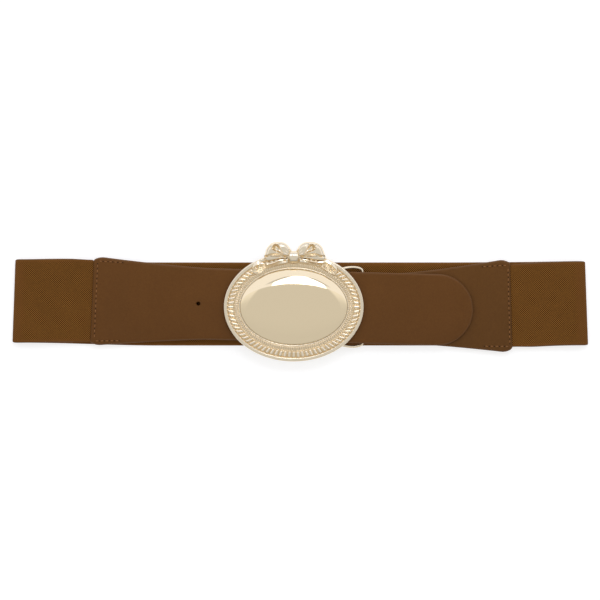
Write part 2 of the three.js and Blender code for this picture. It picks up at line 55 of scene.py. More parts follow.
# %% [markdown]
# The dome is a clean oval, so the middle of its box is the middle of the plate. Every other place on the
# belt is counted from a point near the middle of the belt, which lies at a fixed distance from the plate.

# %% Find the middle of the plate
dome_low, dome_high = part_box("dome_plate")
plate_x = (dome_low.x + dome_high.x) / 2 / MM
plate_y = (dome_low.y + dome_high.y) / 2 / MM
plate_on_belt_x, plate_on_belt_y = -3.9, -1.8
belt_x = plate_x - plate_on_belt_x
belt_y = plate_y - plate_on_belt_y
dome_back = dome_low.z / MM
gap = 0.3
ledge_height = 0.9
plate_back = dome_back - gap - ledge_height
print("plate centre", round(plate_x, 2), round(plate_y, 2), "back of the plate at", round(plate_back, 2))

# %% [markdown]
# ## Helpers for meshes and curves
#
# Most pieces here are skins over a row of rings: a strap is a row of flat cross sections, a border is a
# ring of profiles, a dome is a stack of ovals. One helper turns an array of points into such a skin, and
# also lays a map over it that counts real metres along and across, which the weave uses later.

# %% A skin over a grid of points
def skin(name, grid, closed_rows=False, closed_columns=True, maps=None):
    """A mesh object over grid[row][column], in millimetres. Each map gives every point two flat sizes."""
    rows, columns = grid.shape[:2]
    row_count = rows if closed_rows else rows - 1
    column_count = columns if closed_columns else columns - 1
    i, j = np.meshgrid(np.arange(row_count), np.arange(column_count), indexing="ij")
    next_i, next_j = (i + 1) % rows, (j + 1) % columns
    corners = [i * columns + j, next_i * columns + j, next_i * columns + next_j, i * columns + next_j]
    faces = np.stack(corners, axis=-1).reshape(-1, 4)
    mesh = bpy.data.meshes.new(name)
    mesh.from_pydata((grid.reshape(-1, 3) * MM).tolist(), [], faces.tolist())
    for map_name, flat_sizes in (maps or {}).items():
        layer = mesh.uv_layers.new(name=map_name)
        places = (flat_sizes.reshape(-1, 2) * MM)[faces.reshape(-1)]
        layer.data.foreach_set("uv", places.reshape(-1).astype(np.float32))
    mesh.polygons.foreach_set("use_smooth", [True] * len(mesh.polygons))
    piece = bpy.data.objects.new(name, mesh)
    bpy.context.scene.collection.objects.link(piece)
    return piece


merge_distance = 0.004


def tidy(piece, merge=True, fill=False):
    """Merges points that lie on each other, fills what is open and turns all faces outwards."""
    shape = bmesh.new()
    shape.from_mesh(piece.data)
    if merge:
        bmesh.ops.remove_doubles(shape, verts=shape.verts, dist=merge_distance * MM)
    if fill:
        bmesh.ops.holes_fill(shape, edges=[edge for edge in shape.edges if edge.is_boundary])
    bmesh.ops.recalc_face_normals(shape, faces=shape.faces)
    shape.to_mesh(piece.data)
    shape.free()
    return piece


def apply_modifiers(piece):
    """Makes the modifiers' result the mesh itself."""
    bpy.context.view_layer.update()
    shaped = piece.evaluated_get(bpy.context.evaluated_depsgraph_get())
    piece.data = bpy.data.meshes.new_from_object(shaped)
    piece.modifiers.clear()
    return piece


def settle(piece):
    """Writes a piece's place, turn and size into its mesh."""
    bpy.context.view_layer.update()
    piece.data.transform(piece.matrix_world)
    piece.location, piece.rotation_euler, piece.scale = (0, 0, 0), (0, 0, 0), (1, 1, 1)


def ease(value, start, end):
    """0 before start, 1 after end and a smooth step between them."""
    share = np.clip((value - start) / (end - start), 0, 1)
    return share * share * (3 - 2 * share)


def smooth_line(points, count):
    """A smooth line of count points through the given ones."""
    points = np.array(points, float)
    spans = len(points) - 1
    padded = np.vstack([2 * points[0] - points[1], points, 2 * points[-1] - points[-2]])
    at = np.linspace(0, spans, count)
    span = np.minimum(at.astype(int), spans - 1)
    t = (at - span)[:, None]
    a, b, c, d = (padded[span + k] for k in range(4))
    return 0.5 * (2 * b + (c - a) * t + (2 * a - 5 * b + 4 * c - d) * t**2 + (3 * b - a - 3 * c + d) * t**3)

# %% [markdown]
# ## Laying a strip
#
# Elastic and leather are both strips: a line that travels along the belt and up and down, with a width
# and a thickness at every point. A cut edge is never square. Here the thickness falls off near the
# outline in a quarter round, measured as the true distance to the outline on the flat piece, so it also
# turns neatly round the tongue's tip. A faint unevenness keeps the surface from looking like plastic.

# %% Lay a strip along its line
def flat_outline_distance(along, across, half_width):
    """Distance of each point of a flat piece from its sides and its two square ends."""
    distance = np.empty(across.shape)
    for row in range(len(along)):
        aside = abs(across[row])
        to_sides = np.hypot(along - along[row], half_width - aside[:, None]).min(axis=1)
        to_ends = [
            np.hypot(along[end] - along[row], np.maximum(aside - half_width[end], 0)) for end in (0, -1)
        ]
        distance[row] = np.minimum(to_sides, np.minimum(*to_ends))
    return distance


ripple_long, ripple_wide, ripple_seed = 17, 13, 3.7


def lay_strip(name, line, half_width, thickness, edge_round, columns, waviness, y_middle=0, splay=0):
    """A strip along line, an array of X and Z, with its cross sections along Y."""
    travel = np.gradient(line, axis=0)
    travel /= np.linalg.norm(travel, axis=1)[:, None]
    steps = np.linalg.norm(np.diff(line, axis=0), axis=1)
    along = np.concatenate([[0], np.cumsum(steps)])
    share = np.sin(np.linspace(-1, 1, columns) * math.pi / 2)
    across = half_width[:, None] * share[None, :]
    distance = flat_outline_distance(along, across, half_width)
    inward = 1 - np.clip(distance / edge_round, 0, 1)
    fullness = np.sqrt(1 - inward**2)
    ripple = np.array([
        [noise.noise(Vector((s / ripple_long, y / ripple_wide, ripple_seed))) for y in row]
        for s, row in zip(along, across)
    ])
    splayed = np.broadcast_to(np.reshape(splay, (-1, 1)), (len(line), 1)) * across
    half = thickness[:, None] / 2 * fullness
    sides = []
    for up in (1, -1):
        offset = up * half + waviness * ripple
        x = line[:, :1] - travel[:, 1:] * offset + splayed
        y = np.reshape(y_middle, (-1, 1)) + across
        z = line[:, 1:] + travel[:, :1] * offset
        sides.append(np.stack([x, np.broadcast_to(y, x.shape), z], axis=2))
    ring = np.concatenate([sides[0], sides[1][:, -2:0:-1]], axis=1)
    place = np.stack([np.broadcast_to(along[:, None], across.shape), across], axis=2)
    cut = np.concatenate([place, place[:, -2:0:-1]], axis=1)
    to_edge = np.stack([distance, np.zeros(distance.shape)], axis=2)
    edge = np.concatenate([to_edge, to_edge[:, -2:0:-1]], axis=1)
    print(name, "is", round(along[-1], 1), "mm long as cut")
    return skin(name, ring, maps={"cut": cut, "edge": edge}), along

# %% [markdown]
# ## Sizes of the layers
#
# From the table up: the back of the band, the folded end of the right strap, the bail's bar inside the
# fold, the strap over the bar, the left strap, and the plate. Each layer keeps a small gap to the next,
# so the heights add up from a few thicknesses.

# %% Layers
band_thickness, band_width = 1.6, 50
fold_radius = 2.4
skin_thickness = 1.0
wire = 1.6
fold_skin = 1.5
sewn_depth, skins_meet = 10, 13
tab_thickness = 2 * skin_thickness + band_thickness + 2 * gap
strap_thickness = 2 * skin_thickness
on_band = band_thickness + gap
tab_middle = on_band + tab_thickness / 2
bar_middle = on_band + fold_skin + gap + wire / 2
wrap_radius = wire / 2 + gap + fold_skin / 2
strap_on_bail = bar_middle + wrap_radius + fold_skin / 2 + gap + strap_thickness / 2
plate_length, plate_width = 84.2, 65.5
bar_inside_rim, post_inside_rim = 0.8, 9.8
bar_x = plate_length / 2 - bar_inside_rim
print("layers: tab", tab_middle, "bar", bar_middle, "strap under the plate", strap_on_bail)

tongue = dict(
    x=-125.3, y=1.85, turn=math.radians(-1.45), length=229.1, width=52.9, corner=6, corner_depth=2.6, taper=65
)
buckle_end = dict(
    x=126.9, y=-1.05, turn=math.radians(181.45), width=55.3, corner=6, corner_depth=3.2, taper=58
)
strap_width = 42.8
taper_power = 1.3

# %% [markdown]
# ## The leather straps
#
# Both straps are two skins of leather, sewn over the end of the elastic and glued together beyond it.
# Their outline is a round-cornered end that tapers to an even strap. The left one rises from the table
# to pass under the plate and over the bail, and comes down on the right one. The right one is pared thin
# and folded round the bail's bar.

# %% Outline and heights shared by the straps
def strap_half_width(strap, distance):
    back = 1 - np.clip(distance / strap["corner"], 0, 1)
    corner = strap["corner_depth"] * (1 - np.sqrt(1 - back**2))
    along = np.clip((distance - strap["corner"]) / strap["taper"], 0, 1)
    taper = strap_width / 2 + (strap["width"] / 2 - strap_width / 2) * (1 - along) ** taper_power
    return np.where(distance < strap["corner"], strap["width"] / 2 - corner, taper)


def sewn_thickness(distance):
    together = ease(distance, sewn_depth + gap, sewn_depth + gap + skins_meet)
    return tab_thickness + (strap_thickness - tab_thickness) * together


def along_strap(strap, x):
    return (x - strap["x"]) / math.cos(strap["turn"])


bar_on_belt = plate_on_belt_x + bar_x
bar_along = along_strap(buckle_end, bar_on_belt)
post_along = along_strap(tongue, plate_on_belt_x - plate_length / 2 + post_inside_rim)
rise_before_post = 12.5
fold_return = 27
folded_half_width = 20


def buckle_strap_at(distance):
    """Height of the middle and thickness of the right strap's upper run."""
    return_end = bar_along - fold_return
    pared = ease(distance, return_end + 0.15 * fold_return, return_end + 0.4 * fold_return)
    thickness = sewn_thickness(distance) * (1 - pared) + fold_skin * pared
    on_fold = ease(distance, sewn_depth + skins_meet, return_end)
    flat = on_band + fold_skin + gap + thickness / 2
    low = tab_middle + (flat - tab_middle) * on_fold
    climb = ease(distance, return_end + 0.5 * fold_return, bar_along)
    height = low + (bar_middle + wrap_radius - low) * climb
    half = strap_half_width(buckle_end, distance) * (1 - pared) + folded_half_width * pared
    return height, thickness, half, pared


def tongue_height(distance):
    """Height of the left strap's middle."""
    over_bar = along_strap(tongue, bar_on_belt)
    rising = tab_middle + (strap_on_bail - tab_middle) * ease(
        distance, sewn_depth + skins_meet / 2, post_along - rise_before_post
    )
    x = tongue["x"] + distance * math.cos(tongue["turn"])
    under, thickness, _, _ = buckle_strap_at(along_strap(buckle_end, x))
    resting = under + thickness / 2 + gap + strap_thickness / 2
    tip_x = tongue["x"] + tongue["length"] * math.cos(tongue["turn"])
    tip_under, tip_thickness, _, _ = buckle_strap_at(along_strap(buckle_end, tip_x))
    tip_rest = tip_under + tip_thickness / 2 + gap + strap_thickness / 2
    unbent = strap_on_bail + (tip_rest - strap_on_bail) * ease(distance, over_bar, tongue["length"])
    return np.where(distance < over_bar, rising, np.maximum(unbent, resting))


def place_strap(piece, strap):
    """Turns a strap that was laid along X and moves it to its place on the belt."""
    piece.location = ((belt_x + strap["x"]) * MM, (belt_y + strap["y"]) * MM, 0)
    piece.rotation_euler = (0, 0, strap["turn"])
    settle(piece)
    return piece


def cut_away(piece, cutter):
    """Cuts one mesh out of another and deletes the cutter."""
    modifier = piece.modifiers.new("cut", "BOOLEAN")
    modifier.object = cutter
    modifier.operation = "DIFFERENCE"
    modifier.solver = "EXACT"
    apply_modifiers(piece)
    bpy.data.objects.remove(cutter)
    return piece

# %% [markdown]
# Stations along a strip are close together where it ends, because the rounded edge needs them, and a
# couple of millimetres apart elsewhere.

# %% Stations
def stations(length, spacing, fine=2.4, round_tip=0):
    """Distances along a strip, closer near both ends."""
    near = fine * (1 - np.cos(np.linspace(0, math.pi / 2, 9)))
    tip_angle = np.linspace(0, math.pi / 2, 30)
    far = length - round_tip * (1 - np.sin(tip_angle)) if round_tip else length - near[::-1]
    middle = np.arange(fine + spacing, far[0] - spacing / 2, spacing)
    return np.concatenate([near, middle, far])

# %% The left strap with its round tongue
tip_radius = strap_width / 2
tongue_at = stations(tongue["length"], 1.6, round_tip=tip_radius)
tongue_half = strap_half_width(tongue, tongue_at)
past_tip = np.clip((tongue_at - (tongue["length"] - tip_radius)) / tip_radius, 0, 1)
tongue_half = tongue_half * np.sqrt(1 - past_tip**2)
tongue_line = np.stack([tongue_at, tongue_height(tongue_at)], axis=1)
end_slant = 0.02
tongue_strap, _ = lay_strip(
    "leather_tongue_strap", tongue_line, tongue_half, sewn_thickness(tongue_at),
    edge_round=1.5, columns=49, waviness=0.1, splay=end_slant * (1 - ease(tongue_at, 0, 30)),
)
tidy(tongue_strap)

# %% [markdown]
# The holes are punched through the strap and the pocket for the elastic is cut into its sewn end, both
# with a boolean modifier. The cutters are simple, but what they leave is the real thing: light falls
# into the hole and shows its wall.

# %% Punch the holes and open the pocket
def round_cutter(radius, x, z_low, z_high):
    bpy.ops.mesh.primitive_cylinder_add(
        vertices=40, radius=radius * MM, depth=(z_high - z_low) * MM,
        location=(x * MM, 0, (z_low + z_high) / 2 * MM),
    )
    return bpy.context.object


pocket_wall, band_slack = 0.6, 0.2


def pocket_half_width(strap):
    return float(strap_half_width(strap, np.array(0.0))) - pocket_wall


def pocket_cutter(strap):
    overrun = 2
    size = (
        sewn_depth + gap + overrun,
        2 * pocket_half_width(strap),
        band_thickness + 2 * gap,
    )
    middle = (sewn_depth + gap - overrun) / 2
    bpy.ops.mesh.primitive_cube_add(size=1, location=(middle * MM, 0, tab_middle * MM))
    cutter = bpy.context.object
    cutter.scale = [side * MM for side in size]
    return cutter


hole_radius, hole_pitch = 1.2, 25
for step in (-1, 0, 1):
    hole_at = post_along + step * hole_pitch
    hole_height = float(tongue_height(np.array(hole_at)))
    cut_away(tongue_strap, round_cutter(hole_radius, hole_at, hole_height - 2, hole_height + 2))
cut_away(tongue_strap, pocket_cutter(tongue))
place_strap(tongue_strap, tongue)
print("left strap:", len(tongue_strap.data.polygons), "faces")

# %% The right strap, folded round the bail
flat_at = stations(bar_along, 1.6)
flat_at = flat_at[flat_at < bar_along - 1.2]
upper_height, upper_thickness, upper_half, upper_pared = buckle_strap_at(flat_at)
wrap_angle = np.linspace(0, math.pi, 17)
wrap_x = bar_along + wrap_radius * np.sin(wrap_angle)
wrap_z = bar_middle + wrap_radius * np.cos(wrap_angle)
return_at = fold_return - stations(fold_return, 1.6)[::-1]
return_x = bar_along - return_at[1:]
return_z = np.full(len(return_x), on_band + fold_skin / 2)
buckle_line = np.stack(
    [np.concatenate([flat_at, wrap_x, return_x]), np.concatenate([upper_height, wrap_z, return_z])], axis=1
)
folded = len(wrap_x) + len(return_x)
buckle_strap, _ = lay_strip(
    "leather_buckle_strap", buckle_line,
    np.concatenate([upper_half, np.full(folded, float(folded_half_width))]),
    np.concatenate([upper_thickness, np.full(folded, fold_skin)]),
    edge_round=1.3, columns=49, waviness=0.06,
    splay=np.concatenate([upper_pared, np.ones(folded)]) * math.tan(buckle_end["turn"]),
)
tidy(buckle_strap)
cut_away(buckle_strap, pocket_cutter(buckle_end))
place_strap(buckle_strap, buckle_end)
print("right strap:", len(buckle_strap.data.polygons), "faces")

# %% [markdown]
# ## The elastic band
#
# One woven band runs from inside one strap, over the fold, round the back and into the other strap. Its
# line is a long flat loop with a small bulb at each fold, where thick elastic can't be pressed sharp.
# The folds are a little slanted in the photograph, because the belt was not closed quite square.

# %% Lay the band
belt_length = 344.3
end_splay = 1.8
fold_draw_in = 0.2
seam_draw_in = 0.3


def half_band(side, strap, fold_lift, eased_out):
    """From the band's end in a strap to the middle of the back: X, Y, Z, half width."""
    half_length = belt_length / 2
    fold_x = half_length - fold_radius - band_thickness / 2
    fold_top = band_thickness / 2 + 2 * fold_radius
    mouth = abs(strap["x"])

    def strap_y(x):
        return strap["y"] + (x - strap["x"]) * math.tan(strap["turn"])

    seam_half, full_half = band_width / 2 - seam_draw_in, band_width / 2 + eased_out
    rows = []
    for distance in np.linspace(mouth - sewn_depth, mouth, 8)[:-1]:
        half = pocket_half_width(strap) - band_slack
        rows.append((side * distance, strap_y(side * distance), tab_middle, half))
    for share in np.linspace(0, 1, 36)[:-1]:
        distance = mouth + share * (fold_x - mouth)
        eased = float(ease(share, 0, 1))
        y = strap_y(side * distance) * (1 - eased) + fold_lift * eased
        z = tab_middle + (fold_top - tab_middle) * eased
        half = seam_half + (full_half - seam_half) * float(ease(share, 0, 0.35))
        rows.append((side * distance, y, z, half))
    for angle in np.linspace(0, math.pi, 25):
        x = fold_x + fold_radius * math.sin(angle)
        z = band_thickness / 2 + fold_radius * (1 + math.cos(angle))
        rows.append((side * x, fold_lift, z, full_half - fold_draw_in * math.sin(angle) ** 3))
    for share in np.linspace(1, 0, 70)[1:]:
        y = fold_lift * float(ease(share, 0.5, 1))
        half = band_width / 2 + eased_out * float(ease(share, 0.8, 1))
        rows.append((side * fold_x * share, y, band_thickness / 2, half))
    return np.array(rows)


left_half = half_band(-1, tongue, 1.8, 0.1)
right_half = half_band(1, buckle_end, 0.45, 0.3)[-2::-1]
band_rows = np.vstack([left_half, right_half])
elastic_band, band_along = lay_strip(
    "woven_elastic_band", band_rows[:, [0, 2]], band_rows[:, 3], np.full(len(band_rows), band_thickness),
    edge_round=0.8, columns=33, waviness=0.0, y_middle=band_rows[:, 1],
    splay=-end_splay / band_width * band_rows[:, 0] / (belt_length / 2),
)
elastic_band.location = (belt_x * MM, belt_y * MM, 0)
settle(elastic_band)
tidy(elastic_band)
fold_at = [float(band_along[pick(band_rows[:, 0])]) for pick in (np.argmin, np.argmax)]
print("band:", len(elastic_band.data.polygons), "faces, folded at", fold_at)

# %% [markdown]
# ## Stitches
#
# A row of saddle stitches holds each leather end on the elastic: down the end, and a short return along
# both edges. A stitch is a short fat piece of thread that dips into the leather at both ends, so each
# one is a stretched ball sunk halfway into the surface, and all of a strap's stitches are one mesh. The
# needle leaves a small dent between two stitches, and its shade is painted on a flat dark dot of its own.

# %% Sew the ends
stitch_pitch, stitch_length, thread, needle_hole = 2.95, 1.75, 0.6, 0.75
thread_dip, thread_proud, hole_height = 0.16, 0.02, 0.12
corner_step, thread_lean = 0.6, 0.1


def stitch_row(start, end):
    """Places and directions of the stitches on a straight seam of the flat strap."""
    start, end = np.array(start, float), np.array(end, float)
    count = max(2, round(np.linalg.norm(end - start) / stitch_pitch) + 1)
    heading = math.atan2(*(end - start)[::-1])
    return [(*(start + (end - start) * i / (count - 1)), heading) for i in range(count)]


def sew(name, strap, inset, side_inset, return_length, slant=0):
    """Stitches round a strap's sewn end, on its own flat coordinates, then moved with it."""
    shape = bmesh.new()
    half = strap_half_width(strap, np.array(6.0)) - side_inset
    seams = stitch_row((inset, -half + stitch_pitch), (inset, half - stitch_pitch))
    for side in (-1, 1):
        start = (inset + stitch_pitch * corner_step, side * half)
        seams += stitch_row(start, (return_length, side * (half - 0.4)))
    holes = bmesh.new()
    for index, (x, y, heading) in enumerate(seams):
        top = tab_middle + sewn_thickness(np.array(x)) / 2
        x += slant * y
        ball = bmesh.ops.create_uvsphere(shape, u_segments=10, v_segments=8, radius=0.5)
        lean = thread_lean * math.sin(index * 2.4)
        turn_c, turn_s = math.cos(heading + lean), math.sin(heading + lean)
        for vert in ball["verts"]:
            u, v, w = vert.co.x * stitch_length, vert.co.y * thread, vert.co.z * thread
            w -= thread_dip * (2 * vert.co.x) ** 2
            sewn = Vector((x + u * turn_c - v * turn_s, y + u * turn_s + v * turn_c, top + thread_proud + w))
            vert.co = sewn * MM
        # Painted shade: a flat dark dot between two stitches, where the needle hole would lie in shade.
        hole = bmesh.ops.create_uvsphere(holes, u_segments=10, v_segments=6, radius=0.5)
        step_x, step_y = stitch_pitch / 2 * math.cos(heading), stitch_pitch / 2 * math.sin(heading)
        for vert in hole["verts"]:
            u, v, w = vert.co.x * needle_hole, vert.co.y * needle_hole, vert.co.z * hole_height
            vert.co = Vector((x + step_x + u, y + step_y + v, top + w)) * MM
    pieces = []
    for piece_name, made in ((name, shape), (name.replace("stitches", "needle_hole_shade"), holes)):
        mesh = bpy.data.meshes.new(piece_name)
        made.to_mesh(mesh)
        made.free()
        mesh.polygons.foreach_set("use_smooth", [True] * len(mesh.polygons))
        piece = bpy.data.objects.new(piece_name, mesh)
        bpy.context.scene.collection.objects.link(piece)
        pieces.append(place_strap(piece, strap))
    print(name, len(seams), "stitches")
    return pieces


tongue_stitches, tongue_needle_holes = sew("stitches_tongue_strap", tongue, 2.6, 2.5, 16.2, end_slant)
buckle_stitches, buckle_needle_holes = sew("stitches_buckle_strap", buckle_end, 1.6, 3.3, 15.5)

# %% [markdown]
# ## The cast border
#
# The plate's border is cast in one piece: a plain outer rim, a narrow groove, a rope of slanted lobes and
# a ring of fine ribs round the dome. All of it is relief on one profile that runs round the oval, so it
# is built as a height for every angle and every distance from the edge. The lobes lean away from the
# middle of the bow and of the bottom, towards the ends of the oval.

# %% Points on the oval
oval_a, oval_b = plate_length / 2, plate_width / 2
border = 10.0


def oval_points(angle, inset):
    """X and Y on the plate's outline, moved inwards."""
    normal_x, normal_y = np.cos(angle) / oval_a, np.sin(angle) / oval_b
    size = np.hypot(normal_x, normal_y)
    return (
        oval_a * np.cos(angle) - inset * normal_x / size,
        oval_b * np.sin(angle) - inset * normal_y / size,
    )


def even_angles(count, inset):
    """Angles at equal steps along the oval."""
    fine = np.linspace(0, 2 * math.pi, 20001)
    x, y = oval_points(fine, inset)
    travelled = np.concatenate([[0], np.cumsum(np.hypot(np.diff(x), np.diff(y)))])
    return np.interp(np.arange(count) / count * travelled[-1], travelled, fine)

# %% The border's relief
def puff(depth_inside, width):
    """A quarter round from an edge inwards."""
    return np.sqrt(1 - (1 - np.clip(depth_inside / width, 0, 1)) ** 2)


lobes, ribs = 80, 144
columns_round = 1440
rim_foot, rim_height, groove_height = 1.6, 2.7, 1.5
rim_crown = 0.14
rim_end, lobe_start, lobe_end = 2.05, 2.45, 6.4
rib_start, rib_end, bead_start = 6.6, 9.0, 9.1
lobe_base, lobe_rise, lobe_fullness, lobe_lean = 0.4, 1.5, 0.93, 1.25
rib_base, rib_rise, rib_fullness = 0.25, 1.0, 0.8
bead_rise = 0.55
seam_to_dome = 0.1
angles = even_angles(columns_round, border / 2)
turn_share = np.arange(columns_round) / columns_round
leaning = np.cos(angles) * np.clip(3 * np.sin(angles), -1, 1)


def flat_ridge(inset, start, end, shoulder):
    """1 between two distances from the edge, with rounded shoulders."""
    nearest = min(inset - start, end - inset)
    return math.sqrt(1 - (1 - min(max(nearest / shoulder, 0), 1)) ** 2)


def cushions(phase, fullness):
    """A row of rounded cushions: 1 on their tops and 0 in the valleys between them."""
    side = abs(2 * (phase - np.round(phase)))
    return np.sqrt(1 - np.clip(side / fullness, 0, 1) ** 2)


def relief(inset):
    """Height of the border for every column at one distance from the edge."""
    if inset < lobe_start:
        rounded = rim_foot + (rim_height - rim_foot) * float(puff(inset, 0.45))
        crowned = rounded + rim_crown * math.sin(math.pi * min(inset / rim_end, 1))
        into_groove = float(ease(inset, rim_end, rim_end + 0.2))
        return np.full(columns_round, crowned - (crowned - groove_height) * into_groove)
    if inset < rib_start:
        share = (inset - lobe_start) / (lobe_end - lobe_start)
        rope = cushions(turn_share * lobes - lobe_lean * leaning * (share - 0.5), lobe_fullness)
        ridge = flat_ridge(inset, lobe_start - 0.05, lobe_end + 0.05, 0.9)
        return groove_height + ridge * (lobe_base + lobe_rise * rope)
    if inset < bead_start:
        bars = cushions(turn_share * ribs, rib_fullness)
        ridge = flat_ridge(inset, rib_start - 0.05, rib_end + 0.05, 0.6)
        return groove_height + ridge * (rib_base + rib_rise * bars)
    ridge = flat_ridge(inset, bead_start - 0.05, border, 0.4)
    return np.full(columns_round, groove_height + bead_rise * ridge)


insets = np.concatenate([
    [0.0, 0.05, 0.14, 0.27, 0.45, 0.8, 1.2, 1.6, 1.9, 2.05, 2.12, 2.2, 2.28],
    np.linspace(lobe_start, lobe_end, 18),
    np.linspace(rib_start, rib_end, 12),
    np.linspace(bead_start, border - 0.2, 5),
    [border - seam_to_dome],
])
ledge_inset, back_inset = border + 1.8, 0.5
underside = [
    (border - seam_to_dome, ledge_height),
    (ledge_inset, ledge_height),
    (ledge_inset, 0),
    (back_inset, 0),
]
rows = []
for z in (0.45, 1.2):
    x, y = oval_points(angles, 0)
    rows.append(np.stack([x, y, np.full(columns_round, z)], axis=1))
for inset in insets:
    x, y = oval_points(angles, inset)
    rows.append(np.stack([x, y, relief(inset)], axis=1))
for inset, z in underside:
    x, y = oval_points(angles, inset)
    rows.append(np.stack([x, y, np.full(columns_round, float(z))], axis=1))
plate_origin = np.array([plate_x, plate_y, plate_back])
oval_border = skin("cast_oval_border", np.array(rows) + plate_origin, closed_rows=True)
tidy(oval_border)
print("border:", len(oval_border.data.polygons), "faces,", lobes, "lobes and", ribs, "ribs")

# %% [markdown]
# ## The dome
#
# The dome is a polished shell, almost flat on top and steep at its rim. A mirror shows every flaw, so it
# is a stack of many ovals that follow one smooth formula, with a fine step at its foot.

# %% Stack the ovals of the dome
dome_rise, dome_edge, dome_wall = 5.2, 1.0, 1.1
flat_top, steep_rim = 2.4, 0.75


def crown(share):
    return dome_edge + (dome_rise - dome_edge) * (1 - np.clip(share, 0, 1) ** flat_top) ** steep_rim


over = np.sin(np.linspace(0.01, 1, 60) * math.pi / 2)
under = np.array([0.93, 0.86, 0.76, 0.62, 0.45, 0.25, 0.01])
dome_share = np.concatenate([over, [1.0, 0.965], under])
dome_height = np.concatenate([crown(over), [0.0, 0.0], np.maximum(crown(under) - dome_wall, 0.05)])
dome_angles = even_angles(240, border)
edge_x, edge_y = oval_points(dome_angles, border)
dome_grid = np.stack([
    dome_share[:, None] * edge_x + plate_x,
    dome_share[:, None] * edge_y + plate_y,
    np.broadcast_to(dome_height[:, None] + dome_back, (len(dome_share), len(dome_angles))),
], axis=2)
dome = skin("polished_dome", dome_grid)
tidy(dome, merge=False, fill=True)
print("dome:", len(dome.data.polygons), "faces")

# %% [markdown]
# ## The bow
#
# The bow is part of the same casting, so it is relief: a sculptor would lay clay inside an outline, push
# the hollow of each loop in and draw the pleats with a wire tool. The code does the same. A fine mesh
# fills the outline of each part, and the height of every point is a full, puffed form with a few named
# strokes taken from it or laid on it. A stroke depends only on how far a point is from the stroke's line.

# %% Strokes for sculpting
def distance_to(points, line):
    """Distance of each point, an array ending in X and Y, from a line of straight pieces."""
    line = np.array(line, float)
    nearest = np.full(points.shape[:-1], 1e9)
    for start, end in zip(line[:-1], line[1:]):
        piece = end - start
        share = np.clip(((points - start) @ piece) / (piece @ piece), 0, 1)
        foot = start + share[..., None] * piece
        nearest = np.minimum(nearest, np.linalg.norm(points - foot, axis=-1))
    return nearest


def inside(points, outline):
    """True for each point that lies inside a closed outline."""
    x, y = points[..., 0], points[..., 1]
    crossings = np.zeros(x.shape, int)
    for (x0, y0), (x1, y1) in zip(outline, np.roll(outline, -1, axis=0)):
        level = (y0 > y) != (y1 > y)
        slope = (x1 - x0) / (y1 - y0 if y1 != y0 else 1e-9)
        crossings += level & (x < x0 + (y - y0) * slope)
    return crossings % 2 == 1


def groove(points, line, width, depth):
    return -depth * np.exp(-((distance_to(points, line) / width) ** 2))


outline_places, places_to_a_span = 260, 60


def closed_line(points):
    """A smooth closed outline through the given points, with about outline_places places."""
    whole = list(points) + list(points[:4])
    line = smooth_line(whole, places_to_a_span * (len(whole) - 1))
    once_round = line[places_to_a_span:places_to_a_span * (len(points) + 1)]
    return once_round[:: max(1, len(once_round) // outline_places)]

# %% Clay inside an outline
def sculpt(name, outline, heart, height, foot, rings=72):
    """A relief that fills an outline, with height(points, depth inside the edge) over a foot."""
    steps = 1 - np.linspace(0, 1, rings) ** 1.6
    grid = heart + (outline[None, :, :] - heart) * steps[:, None, None]
    edge = np.vstack([outline, outline[:1]])
    depth_inside = distance_to(grid, edge)
    depth_inside[0] = 0
    top = np.maximum(height(grid, depth_inside), foot)
    bed = np.concatenate([grid[:1], grid], axis=0)
    z = np.concatenate([np.zeros((1, top.shape[1])) + foot - 0.6, top], axis=0)
    piece = skin(name, np.concatenate([bed, z[:, :, None]], axis=2) + plate_origin)
    tidy(piece, fill=True)
    print(name, len(piece.data.polygons), "faces")
    return piece

# %% [markdown]
# ### The loops
#
# A loop is a ribbon that leaves the knot, turns over at the far end and comes back lower down. From
# above one sees the back of the ribbon as a full crescent, then the hollow mouth with the pleats running
# to the knot, then a crease, and the returning ribbon under it. Sizes are from the middle of the plate,
# and both loops are drawn on its right: the left one is mirrored when it is done.

# %% The two loops
loop_outlines = {
    "left": [
        (1.2, 33.3), (2.1, 35.1), (3.6, 37.1), (5.7, 38.5), (8.6, 39.0), (12.2, 38.7),
        (14.7, 37.2), (16.4, 34.9), (17.2, 32.3), (18.0, 29.9), (17.5, 28.3), (15.6, 27.3),
        (12.2, 27.8), (8.6, 28.6), (4.0, 29.1), (1.4, 29.8),
    ],
    "right": [
        (1.4, 33.4), (2.3, 35.2), (3.7, 37.2), (5.7, 38.5), (8.2, 39.0), (11.3, 39.0),
        (14.4, 38.2), (16.8, 36.2), (17.9, 33.9), (18.7, 31.5), (19.5, 29.4), (18.8, 27.8),
        (16.2, 27.5), (12.4, 27.9), (8.6, 28.7), (4.0, 29.1), (1.4, 29.8),
    ],
}
mouth_outline = np.array([
    (12.9, 34.4), (13.1, 35.8), (12.5, 37.0), (11.2, 37.8), (9.8, 37.6), (8.7, 36.6),
    (7.9, 35.0), (6.8, 33.2), (5.6, 31.6), (7.4, 31.6), (9.4, 32.7), (11.4, 33.3),
])
return_crease = [(5.0, 30.2), (7.4, 31.1), (10.2, 31.6), (13.3, 31.5), (16.6, 30.3)]
loop_foot, loop_wall, loop_round, loop_shoulder = 1.3, 2.5, 2.85, 2.8
knot_y = 30.6
pleats_from_x, pleats_from_y = 1.5, 30.3
pleats_round, pleat_height = 17, 0.4
mouth_lip, mouth_low, mouth_high = 0.45, 32.0, 36.8
hollow_base, hollow_slope, hollow_under_arch, arch_reach = 0.5, 0.6, 2.6, 1.3
lower_ribbon_y, lower_ribbon_drop = 31.3, 0.9


